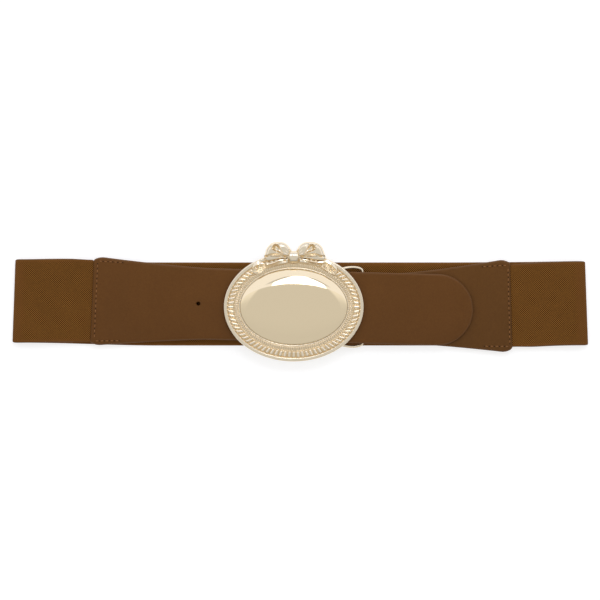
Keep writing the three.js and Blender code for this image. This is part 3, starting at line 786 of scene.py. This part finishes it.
def loop_height(points, depth_inside):
    x, y = points[..., 0], points[..., 1]
    heading = np.arctan2(y - pleats_from_y, x - pleats_from_x)
    from_knot = np.hypot(x, y - knot_y)
    full = loop_foot + loop_wall + loop_round * puff(depth_inside, loop_shoulder)
    mouth_edge = np.vstack([mouth_outline, mouth_outline[:1]])
    in_mouth = inside(points, mouth_outline) * distance_to(points, mouth_edge)
    under_arch = np.exp(-distance_to(points, mouth_outline[:7]) / arch_reach)
    floor = hollow_base + hollow_slope * ease(y, mouth_low, mouth_high) + hollow_under_arch * under_arch
    hollow = ease(in_mouth, 0, mouth_lip) * floor
    pleats = pleat_height * np.cos(heading * pleats_round + 2.4) * ease(in_mouth, 0.1, 0.8)
    lower = ease(lower_ribbon_y - y, 0, 1.2)
    lower_drop = lower_ribbon_drop * lower + 0.2 * np.cos(heading * 19 + 0.8) * lower
    gathers = 0.2 * np.cos(heading * pleats_round) * np.exp(-((from_knot / 5.5) ** 2))
    pinch = -1.6 * np.exp(-((from_knot / 3.6) ** 2))
    crease = groove(points, return_crease, 0.42, 1.3)
    lip = 0.3 * np.exp(-((distance_to(points, mouth_outline[:7]) / 0.5) ** 2)) * (in_mouth == 0)
    return full - hollow + pleats - lower_drop + gathers + pinch + crease + lip


def mirror_over_plate(piece):
    """Mirrors a piece to the other side of the plate and turns its faces outwards again."""
    places = np.empty(len(piece.data.vertices) * 3)
    piece.data.vertices.foreach_get("co", places)
    places[0::3] = 2 * plate_x * MM - places[0::3]
    piece.data.vertices.foreach_set("co", places)
    piece.data.flip_normals()


loop_heart = np.array([10.4, 33.2])


def bow_loop(which):
    outline = closed_line(loop_outlines[which])
    loop = sculpt("cast_bow_loop_" + which, outline, loop_heart, loop_height, loop_foot)
    if which == "left":
        mirror_over_plate(loop)
    return loop


left_loop = bow_loop("left")
right_loop = bow_loop("right")

# %% [markdown]
# ### The tails
#
# The tails leave the knot under the loops, ride along the border and open out at their ends. A tail is
# drawn by its upper and its lower edge. Between them the ribbon has a bright rounded ridge, a narrow
# shadow under it and a gently pleated face, and the pleats fan out where the ribbon is cut.

# %% The two tails
tail_edges = {
    "left": (
        [(3.4, 29.0), (8.6, 28.5), (10.8, 27.5), (12.7, 26.9), (16.0, 26.3), (19.2, 26.8), (21.2, 27.5),
         (22.8, 26.9), (24.2, 25.2), (24.9, 22.8)],
        [(3.4, 26.6), (7.9, 25.7), (10.8, 24.8), (13.8, 23.7), (16.6, 22.6), (18.6, 21.4), (20.2, 20.3),
         (21.8, 19.9), (23.4, 20.4), (24.6, 21.6)],
    ),
    "right": (
        [(3.4, 29.4), (7.7, 28.5), (10.3, 27.7), (14.0, 27.3), (17.6, 27.7), (19.6, 28.5), (21.5, 27.6),
         (24.0, 25.8), (25.7, 23.6), (26.2, 21.9)],
        [(3.4, 26.8), (8.4, 26.4), (12.1, 25.5), (15.6, 24.7), (17.2, 23.5), (19.0, 22.2), (20.9, 20.6),
         (22.8, 19.7), (24.4, 19.5), (25.8, 20.4)],
    ),
}
tail_pits = {
    "left": [(22.6, 23.3, 0.7, 1.9), (5.3, 27.9, 0.5, 1.2)],
    "right": [(22.5, 24.2, 0.5, 1.3), (22.3, 22.1, 0.5, 1.3), (24.3, 22.0, 0.5, 1.3), (4.6, 28.6, 0.4, 1.0)],
}
tail_slits = {
    "left": [[(17.0, 25.4), (20.0, 24.8), (21.6, 23.9)]],
    "right": [[(16.7, 25.1), (19.3, 23.2)]],
}
tail_foot, tail_body, tail_round, tail_wave = 1.3, 2.3, 0.4, 0.15
facet_height, facet_slope, facet_share = 1.15, 0.25, 0.3
tail_pleats = (0.44, 0.6, 0.76, 0.92)
tail_pleat_depth, tail_pleat_width = 0.75, 0.055
slit_width, slit_depth = 0.4, 1.3


def bow_tail(which, columns=150, rows_across=60):
    upper, lower = (smooth_line(edge, columns) for edge in tail_edges[which])
    v = np.linspace(0, 1, rows_across)
    points = upper[:, None, :] * (1 - v)[None, :, None] + lower[:, None, :] * v[None, :, None]
    u = np.linspace(0, 1, columns)[:, None]
    edge = np.vstack([upper, lower[::-1], upper[:1]])
    depth_inside = distance_to(points, edge)
    v = v[None, :]
    end_part = ease(u, 0.7, 0.9)
    width = np.linalg.norm(lower - upper, axis=1)[:, None]
    body = tail_body + tail_round * puff(depth_inside, 0.35)
    ridge = facet_height * (1 - ease(v, 0.27, 0.38)) * (1 - 0.6 * end_part)
    facet = ridge + facet_slope * np.minimum(v, facet_share) * width
    turned_up = 0.25 * np.maximum(v - 0.72, 0) * width * end_part
    wave = tail_wave * np.sin(u * 9.5 + 0.4)
    z = tail_foot + body + facet + turned_up + wave
    for pleat in tail_pleats:
        line = np.exp(-(((v - pleat) / tail_pleat_width) ** 2))
        z = z - tail_pleat_depth * line * ease(u, 0.05, 0.2) * (1 - 0.5 * end_part)
    for slit in tail_slits[which]:
        z = z + groove(points, slit, slit_width, slit_depth)
    for x, y, radius, depth in tail_pits[which]:
        z = z - depth * np.exp(-((np.hypot(points[..., 0] - x, points[..., 1] - y) / radius) ** 2))
    z = np.maximum(z, tail_foot)
    top = np.concatenate([points, z[:, :, None]], axis=2)
    under = top[:, ::-1].copy()
    under[:, :, 2] = tail_foot - 0.6
    ring = np.concatenate([top, under], axis=1)
    piece = skin("cast_bow_tail_" + which, ring + plate_origin)
    tidy(piece, merge=False, fill=True)
    if which == "left":
        mirror_over_plate(piece)
    print(piece.name, len(piece.data.polygons), "faces")
    return piece


left_tail = bow_tail("left")
right_tail = bow_tail("right")

# %% [markdown]
# ### The knot
#
# A short band is wrapped round the middle. It is the highest and smoothest part of the bow, with a
# narrower, lower flank on each side where the wrapped ribbon comes out.

# %% The knot
knot_outline = [
    (-2.5, 33.4), (0.0, 33.6), (2.5, 33.4), (4.0, 32.4), (4.4, 30.5), (4.0, 28.6), (2.9, 27.7),
    (2.7, 26.7), (0.0, 26.4), (-2.7, 26.7), (-2.9, 27.7), (-4.0, 28.6), (-4.4, 30.5), (-4.0, 32.4),
]

knot_wall, knot_round, knot_shoulder = 2.7, 2.6, 2.3
flank_start, flank_end, flank_drop = 2.6, 3.1, 0.9
roll_middle_y = 29.4


def knot_height(points, depth_inside):
    x, y = points[..., 0], points[..., 1]
    full = loop_foot + knot_wall + knot_round * puff(depth_inside, knot_shoulder)
    flank = ease(abs(x), flank_start, flank_end) * flank_drop
    roll = 0.55 * ((y - roll_middle_y) / 3.0) ** 2
    wrinkles = 0.07 * np.cos(x * 3.1 + 0.4) * np.exp(-(((y - knot_y) / 2.2) ** 2))
    seam = groove(points, [(-2.85, 26.5), (-2.95, 30.5), (-2.75, 33.4)], 0.2, 0.45)
    other_seam = groove(points, [(2.85, 26.5), (2.95, 30.5), (2.75, 33.4)], 0.2, 0.45)
    return full - flank - roll + wrinkles + seam + other_seam


knot_heart = np.array([0.0, 30.4])
knot = sculpt("cast_bow_knot", closed_line(knot_outline), knot_heart, knot_height, loop_foot)

# %% [markdown]
# ## The fittings behind the plate
#
# A short post on the back of the plate goes through a hole of the left strap, and two small ears carry
# the wire bail. They are plain castings, bevelled so that they look cast.

# %% Post and ears
lug_x, lug_length, lug_wide, lug_depth = 21.5, 3.4, 2.2, 3.8
bail_waist, bail_span, bail_corner = 45.9, 47.4, 3.2
lug_middle = bail_waist / 2 + wire / 2 + gap + lug_wide / 2
pivot_height = -lug_depth / 2


def ear(side):
    bpy.ops.mesh.primitive_cube_add(size=1)
    piece = bpy.context.object
    piece.name = "cast_ear_" + ("upper" if side > 0 else "lower")
    piece.scale = [lug_length * MM, lug_wide * MM, (lug_depth + 0.3) * MM]
    middle_x = plate_x + lug_x
    middle_y = plate_y + side * lug_middle
    piece.location = [middle_x * MM, middle_y * MM, (plate_back - lug_depth / 2 + 0.15) * MM]
    settle(piece)
    bpy.ops.mesh.primitive_cylinder_add(
        vertices=32, radius=(wire / 2 + gap) * MM, depth=3 * lug_wide * MM, rotation=(math.pi / 2, 0, 0),
        location=(middle_x * MM, middle_y * MM, (plate_back + pivot_height) * MM),
    )
    cut_away(piece, bpy.context.object)
    soft = piece.modifiers.new("soft corners", "BEVEL")
    soft.width, soft.segments = 0.25 * MM, 2
    return apply_modifiers(piece)


ears = [ear(side) for side in (-1, 1)]
post_drop = strap_thickness + gap + 1.2
post_x = plate_x - oval_a + post_inside_rim
post_y = belt_y + tongue["y"] + post_along * math.sin(tongue["turn"])
post_radius, post_sides = 0.85, 24
post_profile = np.array([
    (0, 0.4),
    (post_radius, 0.4),
    (post_radius, -post_drop + 0.5),
    (0.78, -post_drop + 0.25),
    (0.6, -post_drop + 0.07),
    (0, -post_drop),
])
post_angles = np.arange(post_sides) / post_sides * 2 * math.pi
post_grid = np.stack([
    post_x + post_profile[:, :1] * np.cos(post_angles),
    post_y + post_profile[:, :1] * np.sin(post_angles),
    plate_back + np.broadcast_to(post_profile[:, 1:], (len(post_profile), post_sides)),
], axis=2)
hook_post = skin("cast_hook_post", post_grid)
tidy(hook_post)

# %% [markdown]
# ## The wire bail
#
# The bail is bent from one wire. A curve object with a round bevel is the natural tool: it keeps the same
# thickness round every bend. It is turned into a mesh at the end, so that it exports as it looks.

# %% Bend the wire
def bail_route():
    waist, span = bail_waist / 2, bail_span / 2
    widest = bar_x - bail_corner

    def run(share):
        return lug_x + (widest - lug_x) * share

    def slope(x):
        down = min(max((x - lug_x) / (bar_x - lug_x), 0), 1)
        return pivot_height + (bar_middle - plate_back - pivot_height) * down

    end = lug_middle + lug_wide / 2 + gap
    half = [
        (lug_x, end), (lug_x, lug_middle), (lug_x + 0.3, waist + 0.9), (lug_x + 1.8, waist),
        (run(0.42), waist), (run(0.56), waist + 0.45 * (span - waist)), (run(0.72), span),
        (widest - 0.8, span), (widest + 0.7 * bail_corner, span - 0.3 * bail_corner),
        (bar_x, span - bail_corner), (bar_x, span * 0.5),
    ]
    upper = [(x, y, slope(x)) for x, y in half]
    lower = [(x, -y, slope(x)) for x, y in half[::-1]]
    return smooth_line(upper + lower, 220) + plate_origin


route = bail_route()
curve = bpy.data.curves.new("bail_wire", "CURVE")
curve.dimensions = "3D"
curve.bevel_depth = wire / 2 * MM
curve.bevel_resolution = 5
curve.use_fill_caps = True
spline = curve.splines.new("POLY")
spline.points.add(len(route) - 1)
for point, place in zip(spline.points, route):
    point.co = (*(place * MM), 1)
bail = bpy.data.objects.new("bail_wire", curve)
bpy.context.scene.collection.objects.link(bail)
bpy.context.view_layer.update()
bail_mesh = bpy.data.meshes.new_from_object(bail.evaluated_get(bpy.context.evaluated_depsgraph_get()))
bpy.data.objects.remove(bail)
bail = bpy.data.objects.new("bail_wire", bail_mesh)
bpy.context.scene.collection.objects.link(bail)
bail.data.polygons.foreach_set("use_smooth", [True] * len(bail.data.polygons))
print("bail:", len(bail.data.polygons), "faces")

# %% [markdown]
# ## Materials
#
# Each finish is a small network of shader nodes. A helper adds a node, sets its values and wires its
# inputs in one call, which keeps a material readable as a recipe from pattern to surface.

# %% Helper for shader nodes
def new_material(name):
    material = bpy.data.materials.new(name)
    material.use_nodes = True
    return material, material.node_tree.nodes["Principled BSDF"]


def add(material, kind, inputs=None, **settings):
    """Adds a node. An input that is given a socket is wired to it, and any other is set."""
    node = material.node_tree.nodes.new(kind)
    for name, value in settings.items():
        setattr(node, name, value)
    for name, value in (inputs or {}).items():
        feed(material, node, name, value)
    return node


def feed(material, node, name, value):
    if isinstance(value, bpy.types.NodeSocket):
        material.node_tree.links.new(value, node.inputs[name])
    else:
        node.inputs[name].default_value = value


def calculate(material, operation, first, second=0.0):
    return add(material, "ShaderNodeMath", {0: first, 1: second}, operation=operation).outputs[0]


def soft_step(material, value, start, end, low=0.0, high=1.0):
    """From low to high between two values, with rounded ends."""
    return add(
        material, "ShaderNodeMapRange",
        {"Value": value, "From Min": start, "From Max": end, "To Min": low, "To Max": high},
        interpolation_type="SMOOTHSTEP",
    ).outputs[0]


def spread(material, value, low=0.0, high=1.0, start=0.0, end=1.0):
    """From low to high between two values, evenly."""
    return add(
        material, "ShaderNodeMapRange",
        {"Value": value, "From Min": start, "From Max": end, "To Min": low, "To Max": high},
    ).outputs[0]


def cloudy(material, place, scale, detail=2.0):
    """Soft noise. A greater scale makes finer clouds."""
    return add(
        material, "ShaderNodeTexNoise", {"Vector": place, "Scale": scale, "Detail": detail}
    ).outputs["Fac"]


def shade(material, colour, tone):
    """Makes a colour darker where tone is below 1 and lighter where it is above."""
    return add(material, "ShaderNodeHueSaturation", {"Color": colour, "Value": tone}).outputs[0]


def emboss(material, surface, height, strength, distance):
    """Lets the light see a height that is too fine for the mesh."""
    bump = add(
        material, "ShaderNodeBump", {"Height": height, "Strength": strength, "Distance": distance}
    )
    feed(material, surface, "Normal", bump.outputs[0])


def blend_values(material, share, first, second):
    return add(
        material, "ShaderNodeMix", {"Factor": share, "A": first, "B": second}, data_type="FLOAT"
    ).outputs[0]


def blend_colours(material, share, first, second):
    mix = add(material, "ShaderNodeMix", {"Factor": share}, data_type="RGBA")
    feed(material, mix, 6, first)
    feed(material, mix, 7, second)
    return mix.outputs[2]

# %% [markdown]
# ### Leather
#
# Smooth dyed leather is never one brown. Large soft clouds of a slightly warmer and a slightly darker
# brown lie under a fine grain: small cells with creases between them, and pores. The grain is a bump,
# and the creases are a touch duller than the polished tops. Painted light makes the leather a little
# lighter towards +Y and darker towards -Y. The cut edges are painted, and a slightly paler line along
# the outline is that edge paint together with a painted sheen where the rounded edge meets the light.
# The needle holes are flat dark dots: painted shade where the holes are.

# %% Leather
# Edge paint and painted sheen: a paler, greyer brown for the last millimetre of the outline.
edge_paint_and_sheen = (0.185, 0.098, 0.046, 1)


def leather_material(name, dark, light, painted=0.3):
    material, surface = new_material(name)
    place = add(material, "ShaderNodeTexCoord").outputs["Object"]
    clouds = cloudy(material, place, 38.0, 3.0)
    fine = cloudy(material, place, 900.0, 4.0)
    cells = add(
        material, "ShaderNodeTexVoronoi", {"Vector": place, "Scale": 1500.0}, feature="DISTANCE_TO_EDGE"
    )
    crease = spread(material, cells.outputs["Distance"], end=0.16)
    base = blend_colours(material, clouds, dark, light)
    across = add(material, "ShaderNodeSeparateXYZ", {"Vector": place}).outputs["Y"]
    # Painted light: the leather is painted up to 9% lighter towards +Y and 7% darker towards -Y, as if lit
    # from +Y.
    painted_light_gradient = spread(material, across, 0.93, 1.09, -28 * MM, 26 * MM)
    speckle = spread(material, fine, 0.85, 1.15)
    toned = shade(material, base, calculate(material, "MULTIPLY", painted_light_gradient, speckle))
    grained = shade(material, toned, spread(material, crease, 0.9, 1.0))
    edge_map = add(material, "ShaderNodeUVMap", uv_map="edge").outputs[0]
    to_edge = add(material, "ShaderNodeSeparateXYZ", {"Vector": edge_map}).outputs[0]
    # Edge paint and painted sheen, strongest 0.3 mm from the outline and gone at 1.4 mm.
    edge_paint_and_sheen_mask = soft_step(material, to_edge, 0.3 * MM, 1.4 * MM, painted, 0.0)
    feed(material, surface, "Base Color", blend_colours(material, edge_paint_and_sheen_mask, grained, edge_paint_and_sheen))
    feed(material, surface, "Roughness", spread(material, crease, 0.62, 0.46))
    grain = calculate(material, "ADD", crease, calculate(material, "MULTIPLY", fine, 0.8))
    emboss(material, surface, grain, 0.16, 0.2 * MM)
    surface.inputs["Specular IOR Level"].default_value = 0.14
    return material


leather = leather_material("smooth brown leather", (0.117, 0.0445, 0.0074, 1), (0.149, 0.057, 0.0108, 1))
leather_folded = leather_material(
    "folded brown leather", (0.112, 0.0445, 0.0074, 1), (0.143, 0.057, 0.0108, 1)
)
# Painted shade: the needle-hole dots are a near-black brown, the shade inside a hole.
needle_hole_painted_shade = leather_material(
    "painted shade in the needle holes", (0.028, 0.011, 0.003, 1), (0.042, 0.017, 0.004, 1), painted=0.0
)

# %% [markdown]
# ### Woven elastic
#
# The elastic shows tiny raised floats of yarn in a half-drop pattern, like a very fine bird's eye, with
# dark gaps between them and a plain rib along both edges. The map from the strip counts metres along and
# across the band, so the pattern keeps its real size round the folds. Two waves multiplied give the
# half-drop pattern, and the same value drives the colour and the bump. Bent elastic is plainer at the
# folds and its edges are rubbed. The back run is painted up to 18% paler: painted light that lifts the
# shade the front run throws on it.

# %% Woven elastic
float_pitch = 1.26 * MM


def elastic_material():
    material, surface = new_material("woven brown elastic")
    place = add(material, "ShaderNodeUVMap", uv_map="cut").outputs[0]
    split = add(material, "ShaderNodeSeparateXYZ", {"Vector": place})
    along, across = split.outputs[0], split.outputs[1]
    wobble = calculate(material, "SUBTRACT", cloudy(material, place, 260.0), 0.5)
    shift = calculate(material, "MULTIPLY", wobble, 1.1)
    turns = 2 * math.pi / float_pitch
    waves = []
    for direction in (along, across):
        angle = calculate(material, "ADD", calculate(material, "MULTIPLY", direction, turns), shift)
        waves.append(calculate(material, "COSINE", angle))
    floats = soft_step(material, calculate(material, "MULTIPLY", *waves), -0.35, 0.35)
    rib_wave = calculate(material, "COSINE", calculate(material, "MULTIPLY", along, turns * 1.5))
    rib = spread(material, rib_wave, 0.45, 0.7, start=-1.0)
    from_middle = calculate(material, "ABSOLUTE", across)
    selvedge = spread(material, from_middle, start=23.4 * MM, end=23.7 * MM)
    pattern = blend_values(material, selvedge, floats, rib)
    gap_brown = (0.016, 0.0055, 0.0009, 1)
    yarn_brown = (0.288, 0.118, 0.0215, 1)
    bent_brown = (0.162, 0.062, 0.0135, 1)
    worn_brown = (0.15, 0.085, 0.045, 1)
    woven = blend_colours(material, pattern, gap_brown, yarn_brown)
    from_folds = [
        calculate(material, "ABSOLUTE", calculate(material, "SUBTRACT", along, fold * MM))
        for fold in fold_at
    ]
    from_fold = calculate(material, "MINIMUM", *from_folds)
    bent = soft_step(material, from_fold, 4.0 * MM, 8.5 * MM, 0.65, 0.0)
    near_edge = spread(material, from_middle, high=0.6, start=22.4 * MM, end=23.6 * MM)
    plain = calculate(material, "MAXIMUM", bent, near_edge)
    woven = blend_colours(material, plain, woven, bent_brown)
    rubbed = spread(material, from_middle, high=0.8, start=24.45 * MM, end=24.8 * MM)
    woven = blend_colours(material, rubbed, woven, worn_brown)
    # Painted light: the back run, away from both folds, is painted up to 18% lighter to lift the shade under
    # the front run.
    painted_light_back_run = calculate(
        material, "MULTIPLY",
        soft_step(material, along, (fold_at[0] + 5) * MM, (fold_at[0] + 25) * MM),
        soft_step(material, along, (fold_at[1] - 25) * MM, (fold_at[1] - 5) * MM, 1.0, 0.0),
    )
    painted_light_back_tone = spread(material, painted_light_back_run, 1.0, 1.18)
    cloud_tone = spread(material, cloudy(material, place, 60.0, 4.0), 0.88, 1.12)
    tone = calculate(material, "MULTIPLY", painted_light_back_tone, cloud_tone)
    feed(material, surface, "Base Color", shade(material, woven, tone))
    surface.inputs["Roughness"].default_value = 0.8
    surface.inputs["Specular IOR Level"].default_value = 0.08
    surface.inputs["Sheen Weight"].default_value = 0.03
    surface.inputs["Sheen Roughness"].default_value = 0.4
    surface.inputs["Sheen Tint"].default_value = (0.9, 0.62, 0.35, 1)
    emboss(material, surface, pattern, 0.6, 0.12 * MM)
    return material


elastic = elastic_material()

# %% Sewing thread
def thread_material():
    material, surface = new_material("waxed tan thread")
    place = add(material, "ShaderNodeTexCoord").outputs["Object"]
    twist = add(
        material, "ShaderNodeTexWave", {"Vector": place, "Scale": 900.0, "Distortion": 1.5},
        bands_direction="DIAGONAL",
    ).outputs["Fac"]
    dark_tan, light_tan = (0.19, 0.072, 0.014, 1), (0.34, 0.14, 0.03, 1)
    feed(material, surface, "Base Color", blend_colours(material, twist, dark_tan, light_tan))
    surface.inputs["Roughness"].default_value = 0.5
    emboss(material, surface, twist, 0.4, 0.1 * MM)
    return material


tan_thread = thread_material()

# %% [markdown]
# ### Champagne gold
#
# Plated metal has almost no colour of its own besides its reflection, so the base colour is the tint of
# the mirror. The casting is a little softer than the dome: tiny dents from the mould and a faint haze in
# its roughness break up the reflections. The dome is nearly perfect.

# %% Champagne gold
def gold_material(name, tint, roughness, haze, dents, mottle):
    material, surface = new_material(name)
    place = add(material, "ShaderNodeTexCoord").outputs["Object"]
    cloud = cloudy(material, place, 420.0, 3.0)
    surface.inputs["Metallic"].default_value = 1.0
    darker = tuple((1 - mottle) * part for part in tint[:3]) + (1,)
    feed(material, surface, "Base Color", blend_colours(material, cloud, darker, tint))
    feed(material, surface, "Roughness", spread(material, cloud, roughness, roughness + haze))
    emboss(material, surface, cloud, dents, 0.1 * MM)
    return material


cast_gold = gold_material("cast champagne gold", (0.93, 0.81, 0.62, 1), 0.1, 0.08, 0.08, 0.07)
mirror_gold = gold_material("polished champagne gold", (0.92, 0.77, 0.53, 1), 0.035, 0.01, 0.0, 0.008)
wire_gold = gold_material("gold plated wire", (0.93, 0.80, 0.60, 1), 0.12, 0.06, 0.05, 0.05)

# %% [markdown]
# ## Putting the pieces on the belt
#
# Every piece takes its finish and rides on the belt's one body, and where it is built over an
# imported solid, that solid is hidden.

# %% Dress the belt
def finish_piece(piece, material, slot, *nodes):
    piece.data.materials.clear()
    piece.data.materials.append(material)
    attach(piece, "root")
    if nodes:
        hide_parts(*nodes)


finish_piece(elastic_band, elastic, "elastic", "elastic_band")
finish_piece(tongue_strap, leather, "leather", "tongue_strap")
finish_piece(buckle_strap, leather_folded, "leather", "buckle_strap")
for piece in (tongue_stitches, buckle_stitches):
    finish_piece(piece, tan_thread, "leather")
for piece in (tongue_needle_holes, buckle_needle_holes):
    finish_piece(piece, needle_hole_painted_shade, "leather")
finish_piece(oval_border, cast_gold, "cast_gold", "buckle_frame")
for piece in (left_loop, right_loop, left_tail, right_tail, knot, hook_post, *ears):
    finish_piece(piece, cast_gold, "cast_gold")
finish_piece(dome, mirror_gold, "polished_gold", "dome_plate")
finish_piece(bail, wire_gold, "wire_gold", "bail")

# %% [markdown]
# ## Table, light and camera
#
# The photograph is a product shot on pure white, from straight above, without a shadow. That look comes
# from a light table: a white sheet that glows a little itself. It lies a hair below the belt, so that
# the two never share a plane. A mirror dome shows the whole room, so the room decides how the buckle
# looks.

# %% Light table
table_drop = 0.15 * MM
bpy.ops.mesh.primitive_plane_add(size=8)
table = bpy.context.object
table.name = "white_table"
table.location.z = -table_drop
white, surface = new_material("white light table")
speckle = add(white, "ShaderNodeTexNoise", {"Scale": 12.0}).outputs["Fac"]
sheet_dark, sheet_light = (0.49, 0.49, 0.49, 1), (0.51, 0.51, 0.51, 1)
feed(white, surface, "Base Color", blend_colours(white, speckle, sheet_dark, sheet_light))
surface.inputs["Roughness"].default_value = 0.7
surface.inputs["Emission Color"].default_value = (1, 1, 1, 1)
surface.inputs["Emission Strength"].default_value = 0.66
table.data.materials.append(white)

# %% [markdown]
# The room is painted on the world. Overhead is a calm grey ceiling, which gives the dome its even beige
# middle. Its front edge is straight and its sides slant. Beyond its front edge the walls are white, and
# at its sides they are paler than the ceiling. Low down, the rear of the room is dark and its front is
# lighter, which draws the rim and the valleys of the border. Where a mirrored ray would meet a ceiling
# one metre up is its X and Y divided by its Z, so the edges of the grey part are simple sums of those
# two numbers.

# %% The room that the dome mirrors
ceiling_grey, rear_grey, side_low, side_high, front_white = 0.70, 0.67, 0.74, 0.97, 1.05
low_rear, low_front, streak_grey, softbox_white = 0.18, 0.6, 0.58, 3.0
ceiling_edge = 0.385
world = bpy.data.worlds.new("studio")
bpy.context.scene.world = world
world.use_nodes = True
background = world.node_tree.nodes["Background"]
ray = add(world, "ShaderNodeSeparateXYZ", {"Vector": add(world, "ShaderNodeTexCoord").outputs["Generated"]})
upward = calculate(world, "MAXIMUM", ray.outputs["Z"], 0.001)
rightward = calculate(world, "DIVIDE", ray.outputs["X"], upward)
forward = calculate(world, "DIVIDE", ray.outputs["Y"], upward)


slanted = calculate(
    world, "ADD", calculate(world, "ABSOLUTE", rightward),
    calculate(world, "MULTIPLY", calculate(world, "MAXIMUM", forward, 0.0), 0.6),
)
side_start, side_end = 0.57, 0.67
beside = calculate(
    world, "MULTIPLY",
    soft_step(world, slanted, side_start, side_end),
    soft_step(world, forward, -0.12, 0.06),
)
ahead = soft_step(world, forward, ceiling_edge - 0.01, ceiling_edge + 0.01)
ceiling = soft_step(world, forward, -0.7, -0.1, rear_grey, ceiling_grey)
side = soft_step(world, forward, 0.03, 0.38, side_low, side_high)
overhead = blend_values(world, ahead, blend_values(world, beside, ceiling, side), front_white)
low = soft_step(world, ray.outputs["Y"], -0.5, 0.6, low_rear, low_front)
room = blend_values(world, soft_step(world, ray.outputs["Z"], 0.55, 0.1), overhead, low)

# %% [markdown]
# A white light stands beyond the ceiling's front edge, with its far corners cut off and a grey streak
# past each of them. Painted on the world, it shows in the dome. A real lamp in the same place is what
# lights up the slopes of the bow and the rope that face it.

# %% The white light and the streaks at its far side
light_middle = 0.07
off_middle = calculate(world, "ABSOLUTE", calculate(world, "SUBTRACT", rightward, light_middle))
far_side = calculate(world, "ADD", forward, off_middle)
far_edge = calculate(world, "MAXIMUM", far_side, calculate(world, "ADD", forward, 0.06))
light_end = calculate(
    world, "MAXIMUM", soft_step(world, far_edge, 0.765, 0.78), soft_step(world, off_middle, 0.27, 0.29)
)
light = calculate(world, "MULTIPLY", ahead, calculate(world, "SUBTRACT", 1.0, light_end))
streak = calculate(
    world, "MULTIPLY",
    calculate(world, "MULTIPLY", light_end, soft_step(world, far_side, 0.83, 0.9, 1.0, 0.0)),
    calculate(
        world, "MULTIPLY",
        soft_step(world, forward, 0.45, 0.52),
        soft_step(world, forward, 0.66, 0.72, 1.0, 0.0),
    ),
)
room = blend_values(world, streak, blend_values(world, light, room, softbox_white), streak_grey)
feed(world, background, "Strength", room)
cool = blend_colours(world, ahead, (1, 1, 1, 1), (0.97, 0.99, 1.08, 1))
feed(world, background, "Color", cool)

# %% Softbox
def softbox(name, place, aim, width, depth, brightness):
    """An area light whose brightness is what a camera or a mirror sees of it."""
    panel = bpy.data.lights.new(name, "AREA")
    panel.shape = "RECTANGLE"
    panel.size, panel.size_y = width, depth
    panel.energy = brightness * width * depth * math.pi
    lamp = bpy.data.objects.new(name, panel)
    bpy.context.scene.collection.objects.link(lamp)
    lamp.location = place
    lamp.rotation_euler = (Vector(aim) - Vector(place)).to_track_quat("-Z", "Y").to_euler()
    print(name, "uses", round(panel.energy, 2), "watts")


softbox_y = 0.535
softbox(
    "softbox beyond the belt", (light_middle, softbox_y, 1.0), (light_middle, softbox_y, 0), 0.2, 0.29,
    softbox_white,
)

# %% Camera
view_width = 600 * 0.6
lens, sensor = 250, 36
belt_middle_height = 8
camera_data = bpy.data.cameras.new("camera")
camera_data.lens = lens
camera_data.sensor_width = sensor
camera_data.clip_start, camera_data.clip_end = 0.05, 50
camera = bpy.data.objects.new("camera", camera_data)
bpy.context.scene.collection.objects.link(camera)
camera.location = (-0.15 * MM, 1.05 * MM, (view_width * lens / sensor + belt_middle_height) * MM)
bpy.context.scene.camera = camera
bpy.context.scene.view_settings.view_transform = "Standard"
